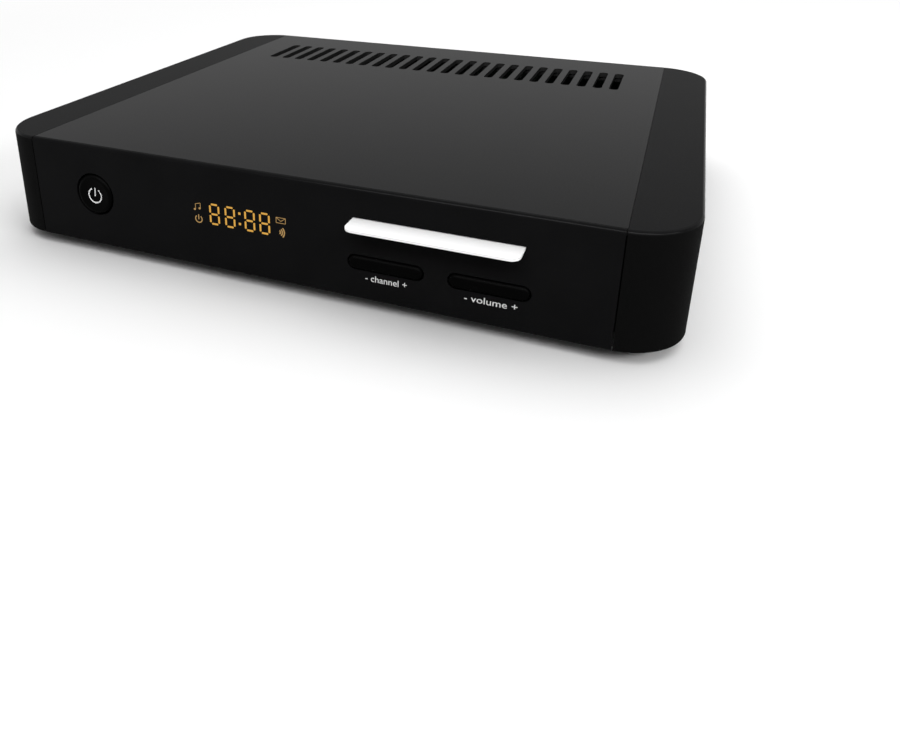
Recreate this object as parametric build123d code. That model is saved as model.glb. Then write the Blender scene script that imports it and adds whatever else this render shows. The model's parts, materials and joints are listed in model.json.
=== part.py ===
from build123d import *
import os

# A flat television receiver with a clock display, a card slot, a power key and two rocker keys.
# Millimetres. +X is to the right seen from the front, the front faces -Y and +Z is up.
# The origin is on the floor, under the middle of the whole outline.

# Housing
BODY_WIDTH = 247.0
BODY_DEPTH = 204.0
BODY_HEIGHT = 38.0
CORNER_RADIUS = 20.0
EDGE_RADIUS = 1.2
WALL = 2.2
COVER_THICKNESS = 2.0
COVER_EDGE_RADIUS = 0.2
SEAM_INSET = 19.5
SEAM_GAP = 0.4
COVER_GAP = 0.06
COVER_END_GAP = 0.3
LIP_WIDTH = 3.5
LIP_THICKNESS = 1.6
LIP_ROOT = 3.0
FIT_GAP = 0.3

# Top cover
VENT_PITCH = 7.1
VENT_SIDE_MARGIN = 16.0
VENT_WIDTH = 4.0
VENT_LENGTH = 30.3
VENT_CORNER = 1.8
VENT_FROM_REAR = 23.4
RIB_HEIGHT = 2.0
RIB_THICKNESS = 1.2
RIB_END_GAP = 8.0
HOOK_LENGTH = 8.0
HOOK_THICKNESS = 1.5
HOOK_BARB = 1.0
HOOK_BARB_HEIGHT = 1.2
HOOK_SPACING = 60.0

# Bottom tray and feet
BASE_THICKNESS = 2.0
BASE_CLEARANCE = 0.2
RIM_HEIGHT = 3.0
RIM_THICKNESS = 1.5
FOOT_HEIGHT = 4.0
FOOT_RADIUS = 6.0
FOOT_RECESS = 0.6
FOOT_EDGE = 0.6
FOOT_INSET_X = 26.0
FOOT_INSET_Y = 24.0
TRAY_SLOT_COUNT = 11
TRAY_SLOT_PITCH = 8.0
TRAY_SLOT_WIDTH = 2.6
TRAY_SLOT_LENGTH = 26.0
TRAY_SLOT_FROM_REAR = 62.0

# Screws
SCREW_RADIUS = 1.2
SCREW_HOLE_RADIUS = 1.25
SCREW_HEAD_RADIUS = 2.75
SCREW_HEAD_HEIGHT = 1.6
SCREW_HEAD_EDGE = 0.5
CASE_HEAD_DEPTH = 1.1
CASE_SCREW_LENGTH = 12.0
BOARD_SCREW_LENGTH = 6.0
SCREW_TIP_GAP = 1.0
CASE_BOSS_RADIUS = 3.5
CASE_BOSS_INSET_X = 11.5
CASE_BOSS_INSET_Y = 14.0
POST_RADIUS = 3.0

# Front: fascia, carrier and front board
CARRIER_THICKNESS = 1.8
CARRIER_TOP_GAP = 0.5
BOARD_THICKNESS = 1.6
FRONT_BOARD_SIDE_GAP = 3.0
FRONT_BOARD_BOTTOM = 4.0
FRONT_BOARD_HIGH_TOP = 29.5
FRONT_BOARD_LOW_TOP = 22.4
FRONT_BOARD_STEP_X = 14.0
FRONT_POST_INSET = 7.0
FRONT_POST_LOW_Z = 8.5
FRONT_POST_MID_Z = 19.0
FRONT_POST_HIGH_Z = 25.5
FRONT_POST_MID_X = 7.5
DISPLAY_X = -17.9
DISPLAY_Z = 20.1
DISPLAY_WIDTH = 46.0
DISPLAY_HEIGHT = 17.0
DISPLAY_DEPTH = 8.0
DISPLAY_FRAME = 1.5
DISPLAY_FACE_DEPTH = 0.4
REMOTE_X = 10.3
REMOTE_Z = 20.0
REMOTE_WIDTH = 5.4
REMOTE_HEIGHT = 6.6
REMOTE_DEPTH = 3.6
REMOTE_DOME_RADIUS = 2.2
REMOTE_HOLE_RADIUS = 3.2

# Power key
POWER_FROM_SEAM = 26.2
POWER_Z = 19.5
POWER_RADIUS = 7.5
POWER_GAP = 0.6
POWER_PROUD = 0.5
POWER_EDGE_RADIUS = 1.3
POWER_DISH_RADIUS = 6.0
POWER_DISH_DEPTH = 0.4
POWER_FLANGE = 1.2
POWER_FLANGE_THICKNESS = 1.2
POWER_STOP_GAP = 0.15
POWER_STEM_RADIUS = 2.6
POWER_TRAVEL = 0.5
COLLAR_LENGTH = 2.4
COLLAR_WALL = 1.5

# Push switches
SWITCH_SIZE = 6.0
SWITCH_HEIGHT = 3.5
PLUNGER_RADIUS = 1.75
PLUNGER_REACH = 1.5
PLUNGER_GAP = 0.15
PLUNGER_FOOT = 1.4
SWITCH_WELL_SPARE = 0.3

# Rocker keys
CHANNEL_X = 34.15
VOLUME_X = 67.2
ROCKER_Z = 12.6
ROCKER_WIDTH = 24.9
ROCKER_HEIGHT = 4.7
ROCKER_PROUD = 0.6
ROCKER_EDGE_RADIUS = 1.2
ROCKER_CAP_BACK = 1.7
ROCKER_GAP = 0.4
ROCKER_HUB_WIDTH = 4.4
ROCKER_HUB_HEIGHT = 3.8
ROCKER_POST_RADIUS = 1.2
ROCKER_POST_SPACING = 17.0
ROCKER_POST_GAP = 0.5
PIVOT_BEHIND_CARRIER = 1.4
TRUNNION_RADIUS = 1.0
TRUNNION_LENGTH = 1.6
TRUNNION_CLEARANCE = 0.05
LUG_WIDTH = 5.0
LUG_GAP = 0.2
LUG_THICKNESS = 2.0
LUG_WALL = 1.0

# Card and card slot
CARD_LENGTH = 85.6
CARD_WIDTH = 53.98
CARD_THICKNESS = 0.76
CARD_CORNER = 3.18
CARD_X = 50.2
CARD_Z = 27.4
CARD_REACH = 8.9
SLOT_SIDE_GAP = 0.45
SLOT_HEIGHT = 1.6
SLOT_CORNER = 0.6
PAD_WIDTH = 11.0
PAD_LENGTH = 12.0
PAD_THICKNESS = 0.2
PAD_FROM_END = 15.1
PAD_OFFSET_X = 3.1

# Card reader and card board
READER_WIDTH = 60.0
READER_FLOOR = 2.3
READER_ROOF = 2.3
READER_BACK_WALL = 2.0
READER_MOUTH = 1.0
SPRING_ROWS = 2
SPRINGS_PER_ROW = 4
SPRING_PITCH = 2.54
SPRING_ROW_PITCH = 7.62
SPRING_WIDTH = 1.2
SPRING_LENGTH = 3.0
SPRING_POCKET = 0.5
SPRING_UNDER_CARD = 0.15
CARD_BOARD_WIDTH = 74.0
CARD_BOARD_FRONT_GAP = 2.5
CARD_BOARD_REAR_SPARE = 2.0
CARD_POST_INSET_X = 3.5
CARD_POST_INSET_Y = 6.0

# Main board and what stands on it
POST_HEIGHT = 5.0
MAIN_BOARD_SIDE_GAP = 2.5
MAIN_BOARD_REAR_GAP = 1.5
MAIN_BOARD_FRONT_GAP = 2.0
MAIN_POST_INSET = 6.0
CHIP_X = 24.0
CHIP_FROM_REAR = 58.0
CHIP_SIZE = 27.0
CHIP_THICKNESS = 2.0
SINK_SIZE = 36.0
SINK_BASE = 3.0
SINK_FIN_HEIGHT = 10.0
SINK_FIN_COUNT = 9
SINK_FIN_THICKNESS = 1.4
MEMORY_WIDTH = 14.0
MEMORY_DEPTH = 9.0
MEMORY_THICKNESS = 1.2
MEMORY_GAP = 6.0
MEMORY_SPACING = 18.0
CAPACITOR_COUNT = 4
CAPACITOR_RADIUS = 4.0
CAPACITOR_HEIGHT = 12.0
CAPACITOR_EDGE = 0.6
CAPACITOR_PITCH = 10.0
CAPACITOR_INSET = 9.0
CAPACITOR_FROM_REAR = 28.0
COIL_SIZE = 10.0
COIL_HEIGHT = 5.0
COIL_CORNER = 2.0
COIL_SPACING = 14.0
COIL_GAP = 8.0

# Rear sockets
SOCKET_PROUD = 0.6
PORT_CLEARANCE = 0.3
CAN_WIDTH = 40.0
CAN_DEPTH = 50.0
CAN_HEIGHT = 20.0
CAN_LID = 3.0
CAN_LID_STEP = 0.4
CAN_WALL = 0.6
COAX_SPACING = 22.0
COAX_RADIUS = 4.76
COAX_NECK_RADIUS = 4.6
COAX_REACH = 11.0
COAX_BORE_RADIUS = 2.9
COAX_FLANGE_RADIUS = 6.4
COAX_FLANGE_THICKNESS = 1.5
COAX_CHAMFER = 0.4
COAX_NUT_FLATS = 11.0
COAX_NUT_THICKNESS = 2.5
COAX_PIN_HOLE_RADIUS = 0.6
COAX_INSULATOR_SET_BACK = 0.4
ROUND_GAP = 0.05
PHONO_PITCH = 13.0
PHONO_SIDES = (-1, 0, 1)
PHONO_Z = 9.5
PHONO_BLOCK_HEIGHT = 15.0
PHONO_BLOCK_DEPTH = 12.0
PHONO_BLOCK_MARGIN = 6.2
PHONO_RING_RADIUS = 4.8
PHONO_RING_PROUD = 1.4
PHONO_RADIUS = 4.15
PHONO_WALL = 0.6
PHONO_LENGTH = 8.0
PHONO_PIN_HOLE_RADIUS = 1.65
VIDEO_WIDTH = 15.0
VIDEO_HEIGHT = 6.2
VIDEO_DEPTH = 12.0
VIDEO_CHAMFER = 1.8
DATA_WIDTH = 14.0
DATA_HEIGHT = 6.6
DATA_DEPTH = 14.0
SHELL_WALL = 0.6
TONGUE_THICKNESS = 1.2
TONGUE_SIDE_GAP = 1.4
TONGUE_SET_BACK = 1.5
NETWORK_WIDTH = 16.0
NETWORK_HEIGHT = 13.5
NETWORK_DEPTH = 18.0
NETWORK_MOUTH_WIDTH = 11.8
NETWORK_MOUTH_HEIGHT = 8.0
NETWORK_MOUTH_DEPTH = 13.0
NETWORK_MOUTH_FLOOR = 1.5
NETWORK_LATCH_WIDTH = 6.2
NETWORK_LATCH_HEIGHT = 2.4
INLET_WIDTH = 9.5
INLET_HEIGHT = 11.0
INLET_DEPTH = 13.0
INLET_BORE_RADIUS = 3.2
INLET_BORE_DEPTH = 9.5
INLET_PIN_RADIUS = 1.0
INLET_PIN_LENGTH = 8.5
INLET_Z = 6.0

# Ribbon cables
RIBBON_WIDTH = 16.0
RIBBON_THICKNESS = 0.4
RIBBON_RADIUS = 3.5
RIBBON_LEAD = 6.0
RIBBON_SOCKET_DEPTH = 5.0
RIBBON_SOCKET_HEIGHT = 4.0
RIBBON_SOCKET_SPARE = 4.0
FRONT_RIBBON_X = -42.0
FRONT_RIBBON_Z = 12.5
CARD_RIBBON_FROM_REAR = 9.0
RIBBON_BOARD_INSET = 3.0

# Levels and places worked out from the sizes above
UNDER_Z = FOOT_HEIGHT
TOP_Z = UNDER_Z + BODY_HEIGHT
COVER_Z = TOP_Z - COVER_THICKNESS
BASE_TOP_Z = UNDER_Z + BASE_THICKNESS
RIM_TOP_Z = BASE_TOP_Z + RIM_HEIGHT
SHIFT_Y = (CARD_REACH - COAX_REACH) / 2
FRONT_Y = SHIFT_Y - BODY_DEPTH / 2
REAR_Y = SHIFT_Y + BODY_DEPTH / 2
REAR_WALL_Y = REAR_Y - WALL
SEAM_X = BODY_WIDTH / 2 - SEAM_INSET
PANEL_HALF = SEAM_X - SEAM_GAP / 2
CHEEK_X = SEAM_X + SEAM_GAP / 2
COVER_HALF = CHEEK_X - COVER_GAP
VENT_COUNT = int((2 * COVER_HALF - 2 * VENT_SIDE_MARGIN - VENT_WIDTH) / VENT_PITCH) + 1
LIP_X = SEAM_X - LIP_WIDTH
CARRIER_HALF = LIP_X - FIT_GAP
CARRIER_FRONT_Y = FRONT_Y + WALL
CARRIER_BACK_Y = CARRIER_FRONT_Y + CARRIER_THICKNESS
FRONT_BOARD_Y = CARRIER_FRONT_Y + FIT_GAP + DISPLAY_DEPTH
FRONT_BOARD_BACK_Y = FRONT_BOARD_Y + BOARD_THICKNESS
SWITCH_FRONT_Y = FRONT_BOARD_Y - SWITCH_HEIGHT
PLUNGER_TIP_Y = SWITCH_FRONT_Y - PLUNGER_REACH
POWER_X = POWER_FROM_SEAM - SEAM_X
POWER_FLANGE_RADIUS = POWER_RADIUS + POWER_FLANGE
COLLAR_BORE_RADIUS = POWER_FLANGE_RADIUS + FIT_GAP
PIVOT_Y = CARRIER_BACK_Y + PIVOT_BEHIND_CARRIER
CARD_CENTRE_Z = UNDER_Z + CARD_Z
CARD_FRONT_Y = FRONT_Y - CARD_REACH
CARD_END_Y = CARD_FRONT_Y + CARD_LENGTH
SLOT_WIDTH = CARD_WIDTH + 2 * SLOT_SIDE_GAP
CHANNEL_FLOOR_Z = CARD_CENTRE_Z - CARD_THICKNESS / 2 - FIT_GAP
CHANNEL_ROOF_Z = CARD_CENTRE_Z + CARD_THICKNESS / 2 + FIT_GAP
READER_Z = CHANNEL_FLOOR_Z - READER_FLOOR
READER_FRONT_Y = CARRIER_BACK_Y + FIT_GAP
READER_BACK_Y = CARD_END_Y + FIT_GAP + READER_BACK_WALL
PAD_Y = CARD_END_Y - PAD_FROM_END
PAD_X = CARD_X + PAD_OFFSET_X
CARD_BOARD_FRONT_Y = FRONT_BOARD_BACK_Y + CARD_BOARD_FRONT_GAP
CARD_BOARD_BACK_Y = READER_BACK_Y + CARD_BOARD_REAR_SPARE
CARD_BOARD_Z = READER_Z - BOARD_THICKNESS
MAIN_BOARD_Z = BASE_TOP_Z + POST_HEIGHT
MAIN_TOP_Z = MAIN_BOARD_Z + BOARD_THICKNESS
MAIN_BOARD_HALF = LIP_X - MAIN_BOARD_SIDE_GAP
MAIN_BOARD_FRONT_Y = CARD_BOARD_BACK_Y + MAIN_BOARD_FRONT_GAP
MAIN_BOARD_BACK_Y = REAR_WALL_Y - MAIN_BOARD_REAR_GAP
CHIP_Y = REAR_Y - CHIP_FROM_REAR
SOCKET_FACE_Y = REAR_Y + SOCKET_PROUD
PHONO_BLOCK_WIDTH = 2 * (PHONO_PITCH + PHONO_BLOCK_MARGIN)
POST_WIDTH = 2 * POST_RADIUS
CAN_BACK_Y = REAR_WALL_Y - COAX_FLANGE_THICKNESS
COAX_Z = MAIN_TOP_Z + CAN_HEIGHT / 2
COAX_TIP_Y = REAR_Y + COAX_REACH
PHONO_CENTRE_Z = MAIN_TOP_Z + PHONO_Z
PHONO_RING_Y = REAR_Y + PHONO_RING_PROUD
INLET_CENTRE_Z = MAIN_TOP_Z + INLET_Z

# What stands along the rear edge of the main board, from left to right, with even gaps
SOCKET_WIDTHS = [VIDEO_WIDTH, DATA_WIDTH, NETWORK_WIDTH]
REAR_WIDTHS = [CAN_WIDTH, POST_WIDTH, PHONO_BLOCK_WIDTH, *SOCKET_WIDTHS, POST_WIDTH, INLET_WIDTH]
REAR_GAP = (2 * SEAM_X - sum(REAR_WIDTHS)) / (len(REAR_WIDTHS) + 1)
REAR_EDGES = [sum(REAR_WIDTHS[:i]) + (i + 1) * REAR_GAP - SEAM_X for i in range(len(REAR_WIDTHS))]
REAR_CENTRES = [edge + width / 2 for edge, width in zip(REAR_EDGES, REAR_WIDTHS)]
CAN_X, LEFT_POST_X, PHONO_X, VIDEO_X, DATA_X, NETWORK_X, RIGHT_POST_X, INLET_X = REAR_CENTRES


def span(centre, size):
    """Low and high limit of a size about its centre."""
    return (centre - size / 2, centre + size / 2)


def on_side(side, near, far):
    """Limits along X of what lies between two distances from the middle, on one side."""
    return tuple(sorted((side * near, side * far)))


def block(x, y, z):
    """Rectangular block between a low and a high limit along each axis."""
    sizes = [high - low for low, high in (x, y, z)]
    centre = [(low + high) / 2 for low, high in (x, y, z)]
    return Pos(*centre) * Box(*sizes)


def plate_z(sketch, z):
    """Outline in X and Y, drawn up between two levels."""
    return extrude(Plane.XY.offset(z[0]) * sketch, amount=z[1] - z[0])


def plate_y(sketch, y):
    """Outline in X and Z, drawn along the depth between two limits."""
    return extrude(Plane.XZ.offset(-y[1]) * sketch, amount=y[1] - y[0])


def rod_z(x, y, radius, z):
    """Upright round rod between two levels."""
    return Pos(x, y, (z[0] + z[1]) / 2) * Cylinder(radius, z[1] - z[0])


def rod_y(x, z, radius, y):
    """Round rod along the depth between two limits."""
    return Pos(x, (y[0] + y[1]) / 2, z) * Rot(90, 0, 0) * Cylinder(radius, y[1] - y[0])


def body_block(inset, z):
    """The housing's rounded outline, set in by a wall, between two levels."""
    width = BODY_WIDTH - 2 * inset
    depth = BODY_DEPTH - 2 * inset
    outline = RectangleRounded(width, depth, CORNER_RADIUS - inset)
    return plate_z(Pos(0, SHIFT_Y) * outline, z)


def outer_form():
    """The whole housing as one block with its top edge rounded: the walls are cut out of it."""
    form = body_block(0, (UNDER_Z, TOP_Z))
    return fillet(form.faces().sort_by(Axis.Z)[-1].edges(), EDGE_RADIUS)


def case_boss_places():
    """Where the four case screws stand, near the corners."""
    x = BODY_WIDTH / 2 - CASE_BOSS_INSET_X
    y = BODY_DEPTH / 2 - CASE_BOSS_INSET_Y
    return [(sx * x, SHIFT_Y + sy * y) for sx in (-1, 1) for sy in (-1, 1)]


def cheek(side):
    """Side moulding that wraps two corners, with lips under the cover and behind the panels."""
    shell = outer_form() - body_block(WALL, (UNDER_Z, COVER_Z))
    x = on_side(side, CHEEK_X, BODY_WIDTH / 2)
    part = shell & block(x, (FRONT_Y, REAR_Y), (UNDER_Z, TOP_Z))
    lip_x = on_side(side, LIP_X, CHEEK_X + LIP_ROOT)
    part += block(lip_x, (FRONT_Y + WALL, REAR_WALL_Y), (COVER_Z - LIP_THICKNESS, COVER_Z))
    part += block(lip_x, (FRONT_Y + WALL, FRONT_Y + WALL + LIP_THICKNESS), (RIM_TOP_Z, COVER_Z))
    part += block(lip_x, (REAR_WALL_Y - LIP_THICKNESS, REAR_WALL_Y), (RIM_TOP_Z, COVER_Z))
    hole_top = UNDER_Z + CASE_HEAD_DEPTH + CASE_SCREW_LENGTH + SCREW_TIP_GAP
    for boss_x, boss_y in case_boss_places():
        if boss_x * side > 0:
            part += rod_z(boss_x, boss_y, CASE_BOSS_RADIUS, (BASE_TOP_Z, COVER_Z))
            part -= rod_z(boss_x, boss_y, SCREW_HOLE_RADIUS, (BASE_TOP_Z, hole_top))
    return part


def wall_panel(half, y, step):
    """Upright wall between the cheeks, its top edge rounded, with a step that carries the cover."""
    x = (-half, half)
    panel = outer_form() & block(x, y, (UNDER_Z, TOP_Z))
    return panel - block(x, step, (COVER_Z, TOP_Z))


def rocker_pocket(x, y):
    """Opening that a rocker key stands in."""
    outline = SlotOverall(ROCKER_WIDTH + 2 * ROCKER_GAP, ROCKER_HEIGHT + 2 * ROCKER_GAP)
    return plate_y(Pos(x, UNDER_Z + ROCKER_Z) * outline, y)


def card_slot(y):
    """Opening that the card slides through."""
    outline = RectangleRounded(SLOT_WIDTH, SLOT_HEIGHT, SLOT_CORNER)
    return plate_y(Pos(CARD_X, CARD_CENTRE_Z) * outline, y)


def front_fascia():
    """Smoked front plate with the openings of the keys and the card."""
    y = (FRONT_Y, CARRIER_FRONT_Y)
    part = wall_panel(PANEL_HALF, y, (FRONT_Y + EDGE_RADIUS, CARRIER_FRONT_Y))
    part -= rod_y(POWER_X, UNDER_Z + POWER_Z, POWER_RADIUS + POWER_GAP, y)
    part -= card_slot(y)
    for x in (CHANNEL_X, VOLUME_X):
        part -= rocker_pocket(x, y)
    return part


def front_post_places():
    """Where the front board is screwed to the carrier, in X and Z."""
    x = CARRIER_HALF - FRONT_POST_INSET
    low = [(-x, FRONT_POST_LOW_Z), (FRONT_POST_MID_X, FRONT_POST_LOW_Z)]
    return low + [(-x, FRONT_POST_HIGH_Z), (x, FRONT_POST_MID_Z)]


def rocker_lugs(x):
    """Pair of ears behind the carrier that hold a rocker's trunnions."""
    centre_z = UNDER_Z + ROCKER_Z
    reach = PIVOT_Y + TRUNNION_RADIUS + LUG_WALL
    near = ROCKER_HUB_HEIGHT / 2 + LUG_GAP
    bore_z = span(centre_z, 2 * (near + LUG_THICKNESS))
    bore = rod_z(x, PIVOT_Y, TRUNNION_RADIUS + TRUNNION_CLEARANCE, bore_z)
    ears = []
    for side in (-1, 1):
        z = sorted((centre_z + side * near, centre_z + side * (near + LUG_THICKNESS)))
        ears.append(block(span(x, LUG_WIDTH), (CARRIER_BACK_Y, reach), z) - bore)
    return ears


def front_carrier():
    """Moulded frame behind the fascia: key guide, rocker ears, display opening and board posts."""
    y = (CARRIER_FRONT_Y, CARRIER_BACK_Y)
    part = block((-CARRIER_HALF, CARRIER_HALF), y, (RIM_TOP_Z, COVER_Z - CARRIER_TOP_GAP))
    collar_y = (CARRIER_FRONT_Y, CARRIER_BACK_Y + COLLAR_LENGTH)
    part += rod_y(POWER_X, UNDER_Z + POWER_Z, COLLAR_BORE_RADIUS + COLLAR_WALL, collar_y)
    part -= rod_y(POWER_X, UNDER_Z + POWER_Z, COLLAR_BORE_RADIUS, collar_y)
    display_x = span(DISPLAY_X, DISPLAY_WIDTH + 2 * FIT_GAP)
    part -= block(display_x, y, span(UNDER_Z + DISPLAY_Z, DISPLAY_HEIGHT + 2 * FIT_GAP))
    part -= rod_y(REMOTE_X, UNDER_Z + REMOTE_Z, REMOTE_HOLE_RADIUS, y)
    part -= card_slot(y)
    for x in (CHANNEL_X, VOLUME_X):
        part -= rocker_pocket(x, y)
        part += rocker_lugs(x)
    for x, z in front_post_places():
        part += rod_y(x, UNDER_Z + z, POST_RADIUS, (CARRIER_BACK_Y, FRONT_BOARD_Y))
        part -= rod_y(x, UNDER_Z + z, SCREW_HOLE_RADIUS, (CARRIER_BACK_Y, FRONT_BOARD_Y))
    return part


def vent_outline():
    """Row of slots with rounded corners, running front to back."""
    y = REAR_Y - VENT_FROM_REAR - VENT_LENGTH / 2
    first = -(VENT_COUNT - 1) / 2
    slot = RectangleRounded(VENT_WIDTH, VENT_LENGTH, VENT_CORNER)
    return [Pos((first + i) * VENT_PITCH, y) * slot for i in range(VENT_COUNT)]


def cover_hook(side, y):
    """Leaf under the cover with a barb that catches below a cheek's lip."""
    leaf_far = LIP_X - FIT_GAP
    under_lip = COVER_Z - LIP_THICKNESS - FIT_GAP
    barb_z = (under_lip - HOOK_BARB_HEIGHT, under_lip)
    leaf_x = on_side(side, leaf_far - HOOK_THICKNESS, leaf_far)
    leaf = block(leaf_x, span(y, HOOK_LENGTH), (barb_z[0], COVER_Z))
    barb = block(on_side(side, leaf_far, LIP_X + HOOK_BARB), span(y, HOOK_LENGTH), barb_z)
    return leaf + barb


def top_cover():
    """Flat lid between the cheeks with the vent slots, two ribs and its snap hooks."""
    edge = EDGE_RADIUS + COVER_END_GAP
    part = block((-COVER_HALF, COVER_HALF), (FRONT_Y + edge, REAR_Y - edge), (COVER_Z, TOP_Z))
    part = fillet(part.faces().sort_by(Axis.Z)[-1].edges(), COVER_EDGE_RADIUS)
    part -= plate_z(Sketch() + vent_outline(), (COVER_Z, TOP_Z))
    rib_half = LIP_X - RIB_END_GAP
    vent_front = REAR_Y - VENT_FROM_REAR - VENT_LENGTH
    for y in (vent_front - RIB_THICKNESS, REAR_Y - VENT_FROM_REAR + RIB_THICKNESS):
        part += block((-rib_half, rib_half), span(y, RIB_THICKNESS), (COVER_Z - RIB_HEIGHT, COVER_Z))
    for side in (-1, 1):
        for step in (-1, 0, 1):
            part += cover_hook(side, SHIFT_Y + step * HOOK_SPACING)
    return part


def main_post_places():
    """Where the main board is screwed to the tray."""
    front_y = MAIN_BOARD_FRONT_Y + MAIN_POST_INSET
    rear_y = MAIN_BOARD_BACK_Y - MAIN_POST_INSET
    x = MAIN_BOARD_HALF - MAIN_POST_INSET
    return [(-x, front_y), (x, front_y), (LEFT_POST_X, rear_y), (RIGHT_POST_X, rear_y)]


def card_post_places():
    """Where the card board is screwed to the tray's tall posts."""
    x = CARD_BOARD_WIDTH / 2 - CARD_POST_INSET_X
    near = CARD_BOARD_FRONT_Y + CARD_POST_INSET_Y
    far = CARD_BOARD_BACK_Y - CARD_POST_INSET_Y
    return [(CARD_X + side * x, y) for side in (-1, 1) for y in (near, far)]


def foot_places():
    """Where the four feet stand."""
    x = BODY_WIDTH / 2 - FOOT_INSET_X
    y = BODY_DEPTH / 2 - FOOT_INSET_Y
    return [(sx * x, SHIFT_Y + sy * y) for sx in (-1, 1) for sy in (-1, 1)]


def screw_post(x, y, top_z):
    """Post of the tray with a hole for a screw from above."""
    hole = rod_z(x, y, SCREW_HOLE_RADIUS, (top_z - BOARD_SCREW_LENGTH + BOARD_THICKNESS, top_z))
    return rod_z(x, y, POST_RADIUS, (BASE_TOP_Z, top_z)) - hole


def bottom_tray():
    """Floor of the housing with a low rim, screw posts, foot recesses and air slots."""
    inset = WALL + BASE_CLEARANCE
    part = body_block(inset, (UNDER_Z, RIM_TOP_Z))
    part -= body_block(inset + RIM_THICKNESS, (BASE_TOP_Z, RIM_TOP_Z))
    for x, y in main_post_places():
        part += screw_post(x, y, MAIN_BOARD_Z)
    for x, y in card_post_places():
        part += screw_post(x, y, CARD_BOARD_Z)
    for x, y in foot_places():
        part -= rod_z(x, y, FOOT_RADIUS + FIT_GAP, (UNDER_Z, UNDER_Z + FOOT_RECESS))
    for x, y in case_boss_places():
        part -= rod_z(x, y, SCREW_HEAD_RADIUS + FIT_GAP, (UNDER_Z, UNDER_Z + CASE_HEAD_DEPTH))
        part -= rod_z(x, y, SCREW_HOLE_RADIUS, (UNDER_Z, BASE_TOP_Z))
    slot = SlotOverall(TRAY_SLOT_LENGTH, TRAY_SLOT_WIDTH, rotation=90)
    first = -(TRAY_SLOT_COUNT - 1) / 2
    slot_y = REAR_Y - TRAY_SLOT_FROM_REAR
    slots = [Pos((first + i) * TRAY_SLOT_PITCH, slot_y) * slot for i in range(TRAY_SLOT_COUNT)]
    return part - plate_z(Sketch() + slots, (UNDER_Z, BASE_TOP_Z))


def rubber_feet():
    """Four round feet, each let into a shallow recess of the tray."""
    feet = []
    for x, y in foot_places():
        foot = rod_z(x, y, FOOT_RADIUS, (0, UNDER_Z + FOOT_RECESS))
        feet.append(chamfer(foot.edges().sort_by(Axis.Z)[0], FOOT_EDGE))
    return Compound(feet)


def screw(length):
    """Pan-head screw standing point down, its head resting on the plane z = 0."""
    head = rod_z(0, 0, SCREW_HEAD_RADIUS, (0, SCREW_HEAD_HEIGHT))
    head = chamfer(head.edges().sort_by(Axis.Z)[-1], SCREW_HEAD_EDGE)
    return head + rod_z(0, 0, SCREW_RADIUS, (-length, 0))


def case_screws():
    """Screws driven up through the tray into the cheeks' bosses."""
    head = rod_z(0, 0, SCREW_HEAD_RADIUS, (0, CASE_HEAD_DEPTH))
    one = head + rod_z(0, 0, SCREW_RADIUS, (CASE_HEAD_DEPTH, CASE_HEAD_DEPTH + CASE_SCREW_LENGTH))
    return Compound([Pos(x, y, UNDER_Z) * one for x, y in case_boss_places()])


def board_screws():
    """Screws that hold the main board on the tray's posts."""
    one = screw(BOARD_SCREW_LENGTH - SCREW_TIP_GAP)
    return Compound([Pos(x, y, MAIN_TOP_Z) * one for x, y in main_post_places()])


def card_board_screws():
    """Screws that hold the card board on the tall posts."""
    one = screw(BOARD_SCREW_LENGTH - SCREW_TIP_GAP)
    return Compound([Pos(x, y, READER_Z) * one for x, y in card_post_places()])


def front_board_screws():
    """Screws that hold the front board on the carrier's posts, driven from behind."""
    one = Rot(-90, 0, 0) * screw(BOARD_SCREW_LENGTH - SCREW_TIP_GAP)
    return Compound([Pos(x, FRONT_BOARD_BACK_Y, UNDER_Z + z) * one for x, z in front_post_places()])


def power_button():
    """Round dished key with a retaining flange and a stem that meets its switch."""
    z = UNDER_Z + POWER_Z
    face_y = FRONT_Y - POWER_PROUD
    flange_y = CARRIER_FRONT_Y + POWER_STOP_GAP
    key = rod_y(POWER_X, z, POWER_RADIUS, (face_y, flange_y))
    key = fillet(key.edges().sort_by(Axis.Y)[0], POWER_EDGE_RADIUS)
    dish = (POWER_DISH_RADIUS**2 + POWER_DISH_DEPTH**2) / (2 * POWER_DISH_DEPTH)
    key -= Pos(POWER_X, face_y + POWER_DISH_DEPTH - dish, z) * Rot(90, 0, 0) * Sphere(dish)
    flange_back = flange_y + POWER_FLANGE_THICKNESS
    key += rod_y(POWER_X, z, POWER_FLANGE_RADIUS, (flange_y, flange_back))
    return key + rod_y(POWER_X, z, POWER_STEM_RADIUS, (flange_back, PLUNGER_TIP_Y))


def plunger(x, z):
    """Plunger of one push switch, its foot inside the switch."""
    return rod_y(x, UNDER_Z + z, PLUNGER_RADIUS, (PLUNGER_TIP_Y, SWITCH_FRONT_Y + PLUNGER_FOOT))


def rocker_switch_places():
    """Switches behind the two ends of each rocker, in X and Z."""
    sides = (-1, 1)
    reach = ROCKER_POST_SPACING / 2
    return [(x + side * reach, ROCKER_Z) for x in (CHANNEL_X, VOLUME_X) for side in sides]


def tact_switches():
    """Five push-switch bodies on the front board."""
    well = SWITCH_FRONT_Y + PLUNGER_FOOT + POWER_TRAVEL + SWITCH_WELL_SPARE
    bodies = []
    for x, z in [(POWER_X, POWER_Z)] + rocker_switch_places():
        y = (SWITCH_FRONT_Y, FRONT_BOARD_Y)
        body = block(span(x, SWITCH_SIZE), y, span(UNDER_Z + z, SWITCH_SIZE))
        body -= rod_y(x, UNDER_Z + z, PLUNGER_RADIUS + PLUNGER_GAP, (SWITCH_FRONT_Y, well))
        bodies.append(body)
    return Compound(bodies)


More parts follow.
